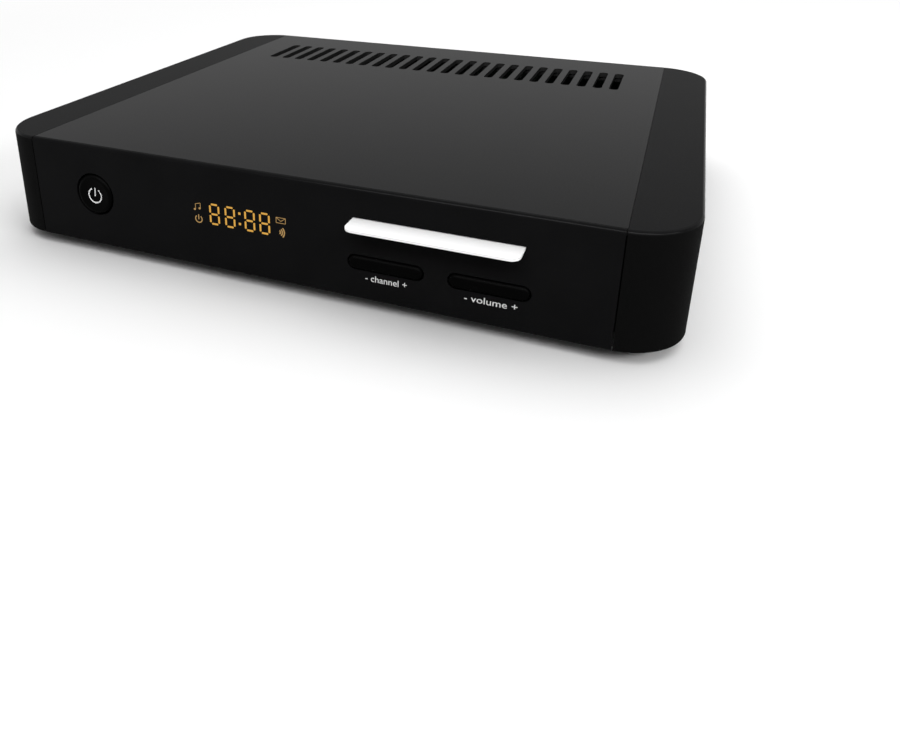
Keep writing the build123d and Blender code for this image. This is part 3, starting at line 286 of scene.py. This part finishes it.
@dataclass(frozen=True)
class Plastic:
    """Moulded plastic, rubber or print: a colour with slow mottling and a fine moulded grain, and where given
    a painted shading: another colour on upright faces that stands in for light and shade.
    """

    colour: Colour
    roughness: float
    mottle: float = 0.12
    specular: float = 0.3
    grain_mm: float = 0.5
    grain_depth_mm: float = 0.02
    grain_strength: float = 0.6
    cloud_mm: float = 14.0
    roughness_swing: float = 0.08
    side_roughness: float | None = None
    edge_roughness: float = 0.2
    # Colour of upright faces, if any: painted shading that makes walls lighter or darker than level faces, as
    # light and shade would
    painted_wall_shading: Colour | None = None

    def material(self, name: str) -> bpy.types.Material:
        """Build the finish.

        Args:
            name: Name of the material.

        Returns:
            The material.
        """
        sheet = ShaderSheet(name)
        cloud = sheet.spread(sheet.noise(self.cloud_mm), 0.0, 1.0)
        low = shaded(self.colour, 1 - self.mottle)
        high = shaded(self.colour, 1 + self.mottle)
        colour = sheet.mix(cloud, low, high)
        # Painted shading: upright faces take another colour, standing in for light and shade that fall
        # differently on walls than on level faces
        if self.painted_wall_shading:
            colour = sheet.mix(sheet.by_slope(1.0, 0.0, 0.0), colour, self.painted_wall_shading)
        sheet.feed("Base Color", colour)
        grain = sheet.noise(self.grain_mm)
        low_share = 1 - self.roughness_swing
        high_share = 1 + self.roughness_swing
        if self.side_roughness is None:
            rough = sheet.spread(grain, self.roughness * low_share, self.roughness * high_share)
        else:
            slope = sheet.by_slope(self.side_roughness, self.edge_roughness, self.roughness)
            rough = sheet.times(sheet.spread(grain, low_share, high_share), slope)
        sheet.feed("Roughness", rough)
        sheet.emboss(grain, self.grain_depth_mm, self.grain_strength)
        sheet.settle(Specular_IOR_Level=self.specular)
        return sheet.material


@dataclass(frozen=True)
class Metal:
    """Bare or plated metal with fine lines from rolling or turning."""

    colour: Colour
    roughness: float
    lay: Lay = Lay.EVEN
    line_mm: float = 0.35
    line_depth_mm: float = 0.01
    line_strength: float = 0.3
    colour_shares: Pair = (0.9, 1.06)
    roughness_shares: Pair = (0.8, 1.25)

    def material(self, name: str) -> bpy.types.Material:
        """Build the finish.

        Args:
            name: Name of the material.

        Returns:
            The material.
        """
        sheet = ShaderSheet(name)
        lines = sheet.noise(self.line_mm, self.lay)
        dull, bright = (shaded(self.colour, share) for share in self.colour_shares)
        sheet.feed("Base Color", sheet.mix(lines, dull, bright))
        smooth, coarse = (self.roughness * share for share in self.roughness_shares)
        sheet.feed("Roughness", sheet.spread(lines, smooth, coarse))
        sheet.emboss(lines, self.line_depth_mm, self.line_strength)
        sheet.settle(Metallic=1.0)
        return sheet.material


@dataclass(frozen=True)
class Board:
    """Circuit board: solder resist with copper tracks that show through as paler lines."""

    resist: Colour
    track: Colour
    pitch_mm: float = 2.2
    track_depth_mm: float = 0.03
    track_strength: float = 0.4
    roughness: float = 0.35
    specular: float = 0.4

    def material(self, name: str) -> bpy.types.Material:
        """Build the finish.

        Args:
            name: Name of the material.

        Returns:
            The material.
        """
        sheet = ShaderSheet(name)
        cells = sheet.node("ShaderNodeTexVoronoi", Vector=sheet.place, Scale=1 / (self.pitch_mm * MM))
        cells.distance = "MANHATTAN"
        cells.feature = "F1"
        lines = sheet.spread(cells.outputs["Distance"], 0.0, 1.0)
        sheet.feed("Base Color", sheet.mix(lines, self.resist, self.track))
        sheet.emboss(lines, self.track_depth_mm, self.track_strength)
        sheet.settle(Roughness=self.roughness, Specular_IOR_Level=self.specular)
        return sheet.material


@dataclass(frozen=True)
class Film:
    """Flat cable: a pale film with conductors that run along it."""

    film: Colour
    conductor: Colour
    pitch_mm: float = 1.0
    ridge_depth_mm: float = 0.05
    ridge_strength: float = 0.5
    roughness: float = 0.4

    def material(self, name: str) -> bpy.types.Material:
        """Build the finish.

        Args:
            name: Name of the material.

        Returns:
            The material.
        """
        sheet = ShaderSheet(name)
        bands = math.tau / (WAVE_TURN * self.pitch_mm * MM)
        stripes = sheet.node("ShaderNodeTexWave", Vector=sheet.place, Scale=bands)
        stripes.bands_direction = "X"
        sheet.feed("Base Color", sheet.mix(stripes.outputs["Fac"], self.film, self.conductor))
        sheet.emboss(stripes.outputs["Fac"], self.ridge_depth_mm, self.ridge_strength)
        sheet.settle(Roughness=self.roughness)
        return sheet.material


@dataclass(frozen=True)
class Glow:
    """Lit segments behind the smoked front: they shine in one colour."""

    colour: Colour
    strength: float
    cloud_mm: float = 1.5
    colour_shares: Pair = (0.94, 1.06)

    def material(self, name: str) -> bpy.types.Material:
        """Build the finish.

        Args:
            name: Name of the material.

        Returns:
            The material.
        """
        sheet = ShaderSheet(name)
        cloud = sheet.spread(sheet.noise(self.cloud_mm), 0.0, 1.0)
        dim, bright = (shaded(self.colour, share) for share in self.colour_shares)
        sheet.feed("Emission Color", sheet.mix(cloud, dim, bright))
        sheet.settle(Emission_Strength=self.strength, Base_Color=BLACK, Specular_IOR_Level=0.0)
        return sheet.material


Finish = Plastic | Metal | Board | Film | Glow

FINISHES: dict[str, Finish] = {
    "cover_black": Plastic(
        (0.0014, 0.0014, 0.0015),
        0.38,
        mottle=0.1,
        specular=0.039,
        grain_depth_mm=0.008,
        # Painted light: the cover's upright faces are coloured lighter than its top
        painted_wall_shading=(0.007, 0.007, 0.007),
    ),
    "cheek_black": Plastic(
        (0.0018, 0.0018, 0.0019),
        0.55,
        mottle=0.1,
        specular=0.0285,
        grain_depth_mm=0.006,
        side_roughness=0.8,
        # Painted shade: the cheeks' upright faces are coloured darker than their tops
        painted_wall_shading=(0.0007, 0.0007, 0.0007),
    ),
    "fascia_smoked": Plastic(
        (0.0021, 0.0021, 0.0022), 0.3, mottle=0.1, specular=0.017, grain_depth_mm=0.003, side_roughness=0.3
    ),
    "inner_black": Plastic((0.02, 0.02, 0.02), 0.6, specular=0.2, grain_mm=0.8),
    "key_black": Plastic(
        (0.0004, 0.0004, 0.0004),
        0.25,
        mottle=0.1,
        specular=0.014,
        grain_depth_mm=0.002,
        side_roughness=0.25,
        edge_roughness=0.5,
    ),
    "card_white": Plastic((0.94, 0.94, 0.94), 0.35, mottle=0.01, specular=0.4, grain_depth_mm=0.004),
    "contact_gold": Metal((0.83, 0.62, 0.28), 0.25),
    "board_green": Board((0.02, 0.09, 0.04), (0.05, 0.2, 0.09)),
    "chip_black": Plastic((0.018, 0.018, 0.019), 0.5, grain_mm=0.3),
    "switch_grey": Plastic((0.22, 0.22, 0.23), 0.45),
    "tin_plate": Metal((0.62, 0.62, 0.6), 0.32, Lay.ALONG_X),
    "nickel_plate": Metal((0.72, 0.7, 0.66), 0.2, Lay.ALONG_Y),
    "insulator_white": Plastic((0.8, 0.79, 0.75), 0.5, mottle=0.04),
    "jack_yellow": Plastic((0.8, 0.56, 0.04), 0.4, mottle=0.05),
    "jack_white": Plastic((0.8, 0.8, 0.78), 0.4, mottle=0.04),
    "jack_red": Plastic((0.58, 0.03, 0.03), 0.4, mottle=0.06),
    "sink_aluminium": Metal((0.5, 0.51, 0.53), 0.35, Lay.ALONG_Y),
    "sleeve_blue": Plastic((0.03, 0.05, 0.12), 0.35),
    "screw_steel": Metal((0.45, 0.45, 0.46), 0.35),
    "foot_rubber": Plastic((0.02, 0.02, 0.02), 0.85, specular=0.1, grain_mm=0.3, grain_depth_mm=0.05),
    "ribbon_white": Film((0.75, 0.75, 0.72), (0.5, 0.48, 0.45)),
    "print_white": Plastic((0.33, 0.33, 0.33), 0.6, mottle=0.02, specular=0.1, grain_depth_mm=0.002),
    "display_amber": Glow((0.7, 0.38, 0.075), 1.0),
    "sign_amber": Glow((0.42, 0.26, 0.1), 1.0),
}


class Wardrobe:
    """Makes each finish once and puts it on nodes and pieces."""

    def __init__(self, finishes: dict[str, Finish]) -> None:
        """Build every material.

        Args:
            finishes: The finish of each material slot.
        """
        self.made = {slot: finish.material(slot) for slot, finish in finishes.items()}

    def dress_nodes(self, frame: dict) -> None:
        """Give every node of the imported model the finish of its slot.
        """
        for part in frame["record"]["subparts"]:
            node = frame["nodes"][part["node"]]
            node.data.materials.clear()
            node.data.materials.append(self.made[part["material_slot"]])

    def dress_piece(self, piece: bpy.types.Object, slot: str, body: str) -> None:
        """Give a new piece its finish and let it ride on a body.

        Args:
            piece: The new piece.
            slot: Its material slot.
            body: The body that carries it.
        """
        piece.data.materials.clear()
        piece.data.materials.append(self.made[slot])
        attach(piece, body)
        log.info("%s rides on %s", piece.name, body)


@dataclass
class Stroke:
    """A line drawn on the front: a path in X and Z with a width at each of its points, in mm."""

    path: np.ndarray
    width: np.ndarray

    @staticmethod
    def bar(start: Pair, end: Pair, width: float, point: float = 0.0) -> "Stroke":
        """Straight bar whose ends may narrow to points.

        Args:
            start: First end.
            end: Last end.
            width: Width of the bar.
            point: Length over which each end narrows, 0 for square ends.

        Returns:
            The stroke.
        """
        ends = np.array([start, end], dtype=float)
        if not point:
            return Stroke(ends, np.full(2, width))
        share = point / np.linalg.norm(ends[1] - ends[0])
        places = np.array([0.0, share, 1 - share, 1.0])[:, None]
        widths = width * np.array([TIP_SHARE, 1.0, 1.0, TIP_SHARE])
        return Stroke(ends[0] + places * (ends[1] - ends[0]), widths)

    @staticmethod
    def arc(centre: Pair, radius: Pair, turn: Pair, width: float, count: int = ARC_POINTS) -> "Stroke":
        """Part of an ellipse: centre plus radius times cosine and sine of the angle.

        Args:
            centre: Middle of the ellipse.
            radius: Half widths along X and Z.
            turn: First and last angle in degrees, from +X towards +Z.
            width: Width of the line.
            count: Number of points.

        Returns:
            The stroke.
        """
        angle = np.radians(np.linspace(turn[0], turn[1], count))
        path = np.array(centre) + np.stack([radius[0] * np.cos(angle), radius[1] * np.sin(angle)], axis=1)
        return Stroke(path, np.full(count, width))

    def slab(self, depth: Depth, thickness: float) -> tuple[np.ndarray, np.ndarray]:
        """Thin closed slab: the path's normal times plus and minus half the width, front and back.

        Args:
            depth: Gives Y of the front face from X and Z, in mm.
            thickness: Thickness of the slab in mm.

        Returns:
            Corner places in mm and the faces, four corners each.
        """
        ahead = np.gradient(self.path, axis=0)
        ahead /= np.linalg.norm(ahead, axis=1)[:, None]
        normal = np.stack([-ahead[:, 1], ahead[:, 0]], axis=1)
        sides = [self.path + sign * normal * self.width[:, None] / 2 for sign in (1, -1)]
        rings = []
        for flat, back in ((sides[0], 0.0), (sides[1], 0.0), (sides[1], thickness), (sides[0], thickness)):
            rings.append(np.stack([flat[:, 0], depth(flat[:, 0], flat[:, 1]) + back, flat[:, 1]], axis=1))
        points = np.stack(rings, axis=1).reshape(-1, 3)
        corners = len(rings)
        corner = np.arange(corners)
        ring = np.arange(len(self.path) - 1)[:, None] * corners
        near = ring + corner
        far = ring + (corner + 1) % corners
        walls = np.stack([near, far, far + corners, near + corners], axis=-1).reshape(-1, 4)
        caps = np.array([corner[::-1], corner + len(points) - corners])
        return points, np.concatenate([walls, caps])


def stroke_piece(name: str, strokes: list[Stroke], depth: Depth, thickness: float) -> bpy.types.Object:
    """One mesh piece out of several strokes.

    Args:
        name: Name of the piece.
        strokes: The lines that it is drawn with.
        depth: Gives Y of the front face from X and Z, in mm.
        thickness: Thickness of the slabs in mm.

    Returns:
        The new object, in place at the origin.
    """
    slabs = [stroke.slab(depth, thickness) for stroke in strokes]
    starts = np.cumsum([0] + [len(points) for points, _ in slabs[:-1]])
    points = np.concatenate([points for points, _ in slabs]) * MM
    faces = np.concatenate([faces + start for (_, faces), start in zip(slabs, starts)])
    return mesh_piece(name, points, faces)


def mesh_piece(name: str, points: np.ndarray, faces: np.ndarray) -> bpy.types.Object:
    """Mesh object from arrays of corners and of faces that already point outwards.

    Args:
        name: Name of the piece.
        points: Corner places in metres.
        faces: Corner numbers of each face.

    Returns:
        The new object, linked to the scene.
    """
    mesh = bpy.data.meshes.new(name)
    mesh.from_pydata(points.tolist(), [], faces.tolist())
    mesh.validate()
    mesh.update()
    piece = bpy.data.objects.new(name, mesh)
    bpy.context.scene.collection.objects.link(piece)
    return piece


@dataclass
class ClockDisplay:
    """The lit clock that shows through the front: four digits, a colon and four small signs.

    Sizes are in mm and turns in degrees. Heights count from the front's lower edge, base_z.
    """

    front_y: float
    base_z: float
    digit_left: tuple[float, ...] = (-29.5, -23.46, -15.9, -10.28)
    digit_width: float = 3.97
    digit_low: float = 16.3
    digit_high: float = 24.1
    bar_width: float = 0.66
    bar_point: float = 0.14
    bar_gap: float = 0.1
    colon_x: float = -17.75
    colon_levels: Pair = (18.4, 22.2)
    colon_size: float = 0.85
    sign_line: float = 0.36
    thin_line: float = 0.19
    note_feet: tuple[Pair, Pair] = ((-34.95, 20.95), (-33.0, 21.5))
    note_stem: float = 2.0
    note_head: Pair = (0.24, 0.2)
    note_head_shift: float = 0.34
    standby_centre: Pair = (-33.95, 17.5)
    standby_radius: float = 1.48
    standby_gap: float = 76.0
    standby_reach: float = 1.12
    letter_sides: Pair = (-3.95, -0.55)
    letter_levels: Pair = (21.4, 23.3)
    letter_flap: float = 1.25
    wave_centre: Pair = (-3.5, 18.1)
    wave_radii: tuple[float, ...] = (0.95, 1.7, 2.45)
    wave_turn: Pair = (-42.0, 42.0)
    wave_line: float = 0.44
    thickness: float = 0.03

    def level(self, x: np.ndarray, z: np.ndarray) -> np.ndarray:
        """Front face of the lit pieces: the fascia's own front, less the slab's thickness."""
        return np.full_like(x, self.front_y - self.thickness)

    def raised(self, place: Pair) -> Pair:
        """A place given from the front's lower edge, in the frame."""
        return place[0], self.base_z + place[1]

    def digit(self, left: float) -> list[Stroke]:
        """Seven bars of a digit eight.

        Args:
            left: Left edge of the digit.

        Returns:
            The bars as strokes.
        """
        half = self.bar_width / 2
        x = (left + half, left + self.digit_width - half)
        low = self.base_z + self.digit_low + half
        high = self.base_z + self.digit_high - half
        levels = (low, (low + high) / 2, high)
        inset = half + self.bar_gap
        flat = [((x[0] + inset, z), (x[1] - inset, z)) for z in levels]
        upright = [((side, levels[i] + inset), (side, levels[i + 1] - inset)) for side in x for i in (0, 1)]
        return [Stroke.bar(start, end, self.bar_width, self.bar_point) for start, end in flat + upright]

    def colon(self) -> list[Stroke]:
        """Two square dots between the digits.

        Returns:
            The dots as strokes.
        """
        half = self.colon_size / 2
        x = self.colon_x
        rows = [self.base_z + level for level in self.colon_levels]
        return [Stroke.bar((x - half, z), (x + half, z), self.colon_size) for z in rows]

    def note_sign(self) -> list[Stroke]:
        """Two quavers under a slanted beam, the right one higher.

        Returns:
            The stems, the beam and the heads as strokes.
        """
        feet = [self.raised(foot) for foot in self.note_feet]
        tops = [(x, z + self.note_stem) for x, z in feet]
        stems = [Stroke.bar(foot, top, self.thin_line) for foot, top in zip(feet, tops)]
        beam = Stroke.bar(tops[0], tops[1], self.thin_line)
        centres = [(x - self.note_head_shift, z) for x, z in feet]
        heads = [Stroke.arc(centre, self.note_head, (0.0, FULL_TURN), self.sign_line) for centre in centres]
        return [*stems, beam, *heads]

    def power_sign(self) -> list[Stroke]:
        """Broken ring with a short bar.

        Returns:
            The ring and the bar as strokes.
        """
        centre = self.raised(self.standby_centre)
        return power_strokes(
            centre, self.standby_radius, self.sign_line, gap=self.standby_gap, reach=self.standby_reach
        )

    def letter_sign(self) -> list[Stroke]:
        """Envelope with a pointed flap.

        Returns:
            The rim and the flap as strokes.
        """
        left, right = self.letter_sides
        low, high = (self.base_z + level for level in self.letter_levels)
        corners = [(left, low), (right, low), (right, high), (left, high)]
        rim = list(zip(corners, corners[1:] + corners[:1]))
        tip = ((left + right) / 2, high - self.letter_flap)
        flap = [((side, high), tip) for side in self.letter_sides]
        return [Stroke.bar(start, end, self.thin_line) for start, end in rim + flap]

    def wave_sign(self) -> list[Stroke]:
        """Three arcs that spread to the right.

        Returns:
            The arcs as strokes.
        """
        centre = self.raised(self.wave_centre)
        rings = [(reach, reach) for reach in self.wave_radii]
        return [Stroke.arc(centre, ring, self.wave_turn, self.wave_line) for ring in rings]

    def build(self, wardrobe: Wardrobe) -> None:
        """Make the lit pieces and let them ride on the housing.

        Args:
            wardrobe: Holds the finishes.
        """
        digits = [stroke for left in self.digit_left for stroke in self.digit(left)]
        clock = {"clock_digits": digits, "clock_colon": self.colon()}
        signs = {
            "note_sign": self.note_sign(),
            "standby_sign": self.power_sign(),
            "letter_sign": self.letter_sign(),
            "wave_sign": self.wave_sign(),
        }
        for slot, group in (("display_amber", clock), ("sign_amber", signs)):
            for name, strokes in group.items():
                piece = stroke_piece(name, strokes, self.level, self.thickness)
                wardrobe.dress_piece(piece, slot, HOUSING)


def power_strokes(
    centre: Pair, radius: float, line: float, turn: float = 0.0, gap: float = 60.0, reach: float = 1.0
) -> list[Stroke]:
    """Power sign: a ring with a gap at its top and a bar through the gap.

    Args:
        centre: Middle of the ring.
        radius: Outer radius of the ring.
        line: Width of its line.
        turn: Turn of the whole sign in degrees, from +X towards +Z.
        gap: Width of the gap in degrees.
        reach: Upper end of the bar, as a share of the radius.

    Returns:
        The two strokes.
    """
    middle = radius - line / 2
    top = FULL_TURN / 4 + turn
    ring_ends = (top + gap / 2, top + FULL_TURN - gap / 2)
    ring = Stroke.arc(centre, (middle, middle), ring_ends, line, RING_POINTS)
    upright = np.array([math.cos(math.radians(top)), math.sin(math.radians(top))]) * radius
    ends = [tuple(np.array(centre) + share * upright) for share in (BAR_FOOT, reach)]
    return [ring, Stroke.bar(*ends, line)]


@dataclass
class PowerSign:
    """Printed power sign in the dish of the power key."""

    key_centre: Pair
    rim_y: float
    sign_shift: Pair = (0.1, -0.35)
    dish_radius: float = 6.0
    dish_depth: float = 0.4
    radius: float = 3.0
    line: float = 0.5
    turn: float = -6.0
    thickness: float = 0.02

    def dish(self, x: np.ndarray, z: np.ndarray) -> np.ndarray:
        """Y of the dish: a sphere's cap, deepest in the middle, less the print's thickness.

        Args:
            x: Places along X in mm.
            z: Places along Z in mm.

        Returns:
            Y at each place in mm.
        """
        ball = (self.dish_radius**2 + self.dish_depth**2) / (2 * self.dish_depth)
        away = np.hypot(x - self.key_centre[0], z - self.key_centre[1])
        return self.rim_y + self.dish_depth - ball + np.sqrt(ball**2 - away**2) - self.thickness

    def build(self, wardrobe: Wardrobe) -> None:
        """Make the sign and let it ride on the power key.

        Args:
            wardrobe: Holds the finishes.
        """
        centre = (self.key_centre[0] + self.sign_shift[0], self.key_centre[1] + self.sign_shift[1])
        strokes = power_strokes(centre, self.radius, self.line, self.turn)
        piece = stroke_piece("power_sign", strokes, self.dish, self.thickness)
        wardrobe.dress_piece(piece, "print_white", POWER_KEY)


@dataclass
class KeyLabel:
    """Printed word under a rocker key, between a minus and a plus."""

    name: str
    words: str
    span: Pair
    base_z: float
    front_y: float
    height: float = 2.25
    boldness: float = 0.001
    curve_steps: int = 3
    thickness: float = 0.02

    def build(self, wardrobe: Wardrobe) -> None:
        """Set the words and stand them up on the front, as long as the span and as high as given.

        Args:
            wardrobe: Holds the finishes.
        """
        curve = bpy.data.curves.new(self.name, "FONT")
        curve.body = self.words
        curve.resolution_u = self.curve_steps
        curve.offset = self.boldness
        curve.extrude = self.thickness / 2
        typed = bpy.data.objects.new(self.name + "_typed", curve)
        mesh = bpy.data.meshes.new_from_object(typed)
        bpy.data.objects.remove(typed)
        flat = np.empty(len(mesh.vertices) * 3)
        mesh.vertices.foreach_get("co", flat)
        flat = flat.reshape(-1, 3)
        low = flat.min(axis=0)
        size = flat.max(axis=0) - low
        left, right = self.span
        across = left + (flat[:, 0] - low[0]) / size[0] * (right - left)
        up = self.base_z + (flat[:, 1] - low[1]) / size[1] * self.height
        y = self.front_y - self.thickness / 2 - flat[:, 2]
        mesh.vertices.foreach_set("co", (np.stack([across, y, up], axis=1) * MM).ravel())
        mesh.update()
        piece = bpy.data.objects.new(self.name, mesh)
        bpy.context.scene.collection.objects.link(piece)
        wardrobe.dress_piece(piece, "print_white", HOUSING)


@dataclass(frozen=True)
class Lamp:
    """A soft lamp with a wide, flat face, and the names of the pale things that it doesn't light."""

    name: str
    place: Triple
    aim: Triple
    size: Pair
    power: float
    spares: tuple[str, ...] = ()

    def build(self) -> bpy.types.Object:
        """Hang the lamp and point it at its aim.

        Returns:
            The lamp.
        """
        light = bpy.data.lights.new(self.name, "AREA")
        light.shape = "RECTANGLE"
        light.size, light.size_y = self.size
        light.energy = self.power
        lamp = bpy.data.objects.new(self.name, light)
        lamp.location = self.place
        lamp.rotation_euler = (Vector(self.aim) - Vector(self.place)).to_track_quat("-Z", "Y").to_euler()
        bpy.context.scene.collection.objects.link(lamp)
        return lamp


@dataclass
class Studio:
    """Pale floor, soft light and the camera, whose place is measured from the front's lower edge."""

    front_mm: Triple
    lamps: tuple[Lamp, ...] = (
        Lamp("overhead_lamp", (0.2, 0.4, 1.5), (0.15, 0.25, 0.0), (2.2, 2.2), 15.0),
        Lamp("front_lamp", (0.2, -0.75, 0.75), (0.05, 0.0, 0.02), (1.25, 0.3), 21.0, ("floor", "smart_card")),
        Lamp("side_lamp", (0.95, -0.4, 0.6), (0.1, -0.05, 0.02), (0.7, 0.2), 5.0),
        Lamp("fill_lamp", (-0.2, -0.8, 0.9), (0.05, 0.0, 0.02), (0.6, 0.6), 4.5, ("floor",)),
    )
    floor_half: float = 3.0
    floor_white: float = 0.96
    floor_roughness: float = 0.9
    horizon: float = 0.1
    zenith: float = 0.92
    sky_axis: Triple = (-0.2, 0.4, 0.9)
    fade_span: Pair = (0.35, 0.8)
    eye_mm: Triple = (110.77, -207.81, 129.93)
    aim_mm: Triple = (-4.04, 68.19, 15.71)
    focal_px: float = 791.95
    axis_px: Pair = (356.0, 170.0)
    sensor_mm: float = 36.0
    clip_start: float = 0.01

    @staticmethod
    def seen(tree: bpy.types.NodeTree) -> bpy.types.NodeSocket:
        """1 for rays that the camera, a gloss or a glass sends out, and 0 for soft light.

        Args:
            tree: Node tree to add to.

        Returns:
            The socket that holds the answer.
        """
        path = tree.nodes.new("ShaderNodeLightPath")
        found = path.outputs["Is Camera Ray"]
        for name in ("Is Glossy Ray", "Is Transmission Ray"):
            either = tree.nodes.new("ShaderNodeMath")
            either.operation = "MAXIMUM"
            tree.links.new(found, either.inputs[0])
            tree.links.new(path.outputs[name], either.inputs[1])
            found = either.outputs[0]
        return found

    def floor_paper(self) -> bpy.types.Material:
        """White paper that fades into the white air far from the object.

        Returns:
            The material.
        """
        material = bpy.data.materials.new("floor_paper")
        material.use_nodes = True
        tree = material.node_tree
        shader = tree.nodes["Principled BSDF"]
        paper = (self.floor_white, self.floor_white, self.floor_white)
        shader.inputs["Base Color"].default_value = (*paper, 1.0)
        shader.inputs["Roughness"].default_value = self.floor_roughness
        shader.inputs["Specular IOR Level"].default_value = 0.0
        away = tree.nodes.new("ShaderNodeVectorMath")
        away.operation = "LENGTH"
        tree.links.new(tree.nodes.new("ShaderNodeNewGeometry").outputs["Position"], away.inputs[0])
        fade = tree.nodes.new("ShaderNodeMapRange")
        fade.interpolation_type = "SMOOTHSTEP"
        fade.inputs["From Min"].default_value, fade.inputs["From Max"].default_value = self.fade_span
        tree.links.new(away.outputs["Value"], fade.inputs["Value"])
        share = tree.nodes.new("ShaderNodeMath")
        share.operation = "MULTIPLY"
        tree.links.new(fade.outputs["Result"], share.inputs[0])
        tree.links.new(self.seen(tree), share.inputs[1])
        blend = tree.nodes.new("ShaderNodeMixShader")
        tree.links.new(share.outputs[0], blend.inputs[0])
        tree.links.new(shader.outputs[0], blend.inputs[1])
        tree.links.new(tree.nodes.new("ShaderNodeEmission").outputs[0], blend.inputs[2])
        tree.links.new(blend.outputs[0], tree.nodes["Material Output"].inputs["Surface"])
        return material

    def lay_floor(self) -> bpy.types.Object:
        """Square sheet of paper at z = 0.

        Returns:
            The sheet.
        """
        side = np.linspace(-self.floor_half, self.floor_half, 2)
        x, y = np.meshgrid(side, side)
        points = np.stack([x.ravel(), y.ravel(), np.zeros(x.size)], axis=1)
        floor = mesh_piece("floor", points, np.array([[0, 1, 3, 2]]))
        floor.data.materials.append(self.floor_paper())
        return floor

    @staticmethod
    def spare(lamp: bpy.types.Object, pale: list[bpy.types.Object]) -> None:
        """Keep a lamp's light off pale things, so that the front's shadow stays and white doesn't clip.

        Args:
            lamp: The lamp.
            pale: What it doesn't light.
        """
        if not pale:
            return
        spared = bpy.data.collections.new(lamp.name + "_spared")
        for thing in pale:
            spared.objects.link(thing)
        for entry in spared.collection_objects:
            entry.light_linking.link_state = "EXCLUDE"
        lamp.light_linking.receiver_collection = spared

    def light_world(self) -> None:
        """White air to the eye, and on the object a weaker light that grows towards the sky's axis."""
        world = bpy.data.worlds.new("studio_air")
        world.use_nodes = True
        tree = world.node_tree
        ground = tree.nodes["Background"]
        ground.inputs["Color"].default_value = WHITE
        way = tree.nodes.new("ShaderNodeVectorMath")
        way.operation = "DOT_PRODUCT"
        tree.links.new(tree.nodes.new("ShaderNodeTexCoord").outputs["Generated"], way.inputs[0])
        way.inputs[1].default_value = self.sky_axis
        sky = tree.nodes.new("ShaderNodeMapRange")
        sky.inputs["To Min"].default_value = self.horizon
        sky.inputs["To Max"].default_value = self.zenith
        tree.links.new(way.outputs["Value"], sky.inputs["Value"])
        strength = tree.nodes.new("ShaderNodeMapRange")
        tree.links.new(sky.outputs["Result"], strength.inputs["To Min"])
        strength.inputs["To Max"].default_value = 1.0
        tree.links.new(self.seen(tree), strength.inputs["Value"])
        tree.links.new(strength.outputs["Result"], ground.inputs["Strength"])
        bpy.context.scene.world = world

    def set_camera(self) -> None:
        """Camera at the photograph's angle, with the shift that its framing needs."""
        camera = bpy.data.cameras.new("camera")
        camera.sensor_width = self.sensor_mm
        camera.lens = self.focal_px / IMAGE_WIDTH * self.sensor_mm
        camera.shift_x = (IMAGE_WIDTH / 2 - self.axis_px[0]) / IMAGE_WIDTH
        camera.shift_y = (self.axis_px[1] - IMAGE_HEIGHT / 2) / IMAGE_WIDTH
        camera.clip_start = self.clip_start
        holder = bpy.data.objects.new("camera", camera)
        holder.location = (Vector(self.front_mm) + Vector(self.eye_mm)) * MM
        ahead = Vector(self.aim_mm) - Vector(self.eye_mm)
        holder.rotation_euler = ahead.to_track_quat("-Z", "Y").to_euler()
        bpy.context.scene.collection.objects.link(holder)
        bpy.context.scene.camera = holder

    def build(self, card: bpy.types.Object) -> None:
        """Set up the whole studio.

        Args:
            card: The white card.
        """
        pale = {"floor": self.lay_floor(), "smart_card": card}
        self.light_world()
        for lamp in self.lamps:
            self.spare(lamp.build(), [pale[name] for name in lamp.spares])
        self.set_camera()
        bpy.context.scene.view_settings.view_transform = "Standard"


def box_mm(node: str) -> tuple[np.ndarray, np.ndarray]:
    """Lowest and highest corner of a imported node, in mm."""
    low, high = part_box(node)
    return np.array(low) / MM, np.array(high) / MM


def main() -> None:
    """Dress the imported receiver, add its lit and printed pieces and set up the studio."""
    logging.basicConfig(level=logging.INFO, format="%(name)s: %(message)s")
    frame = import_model()
    wardrobe = Wardrobe(FINISHES)
    wardrobe.dress_nodes(frame)
    fascia_low, _ = box_mm("front_fascia")
    key_low, key_high = box_mm("power_button")
    front_y = float(fascia_low[1])
    base_z = float(fascia_low[2])
    ClockDisplay(front_y, base_z).build(wardrobe)
    key_centre = (float(key_low[0] + key_high[0]) / 2, float(key_low[2] + key_high[2]) / 2)
    PowerSign(key_centre, float(key_low[1])).build(wardrobe)
    for name, (words, span) in LABELS.items():
        KeyLabel(name, words, span, base_z + LABEL_RISE, front_y).build(wardrobe)
    Studio((0.0, front_y, base_z)).build(frame["nodes"]["smart_card"])


if __name__ == "__main__":
    main()
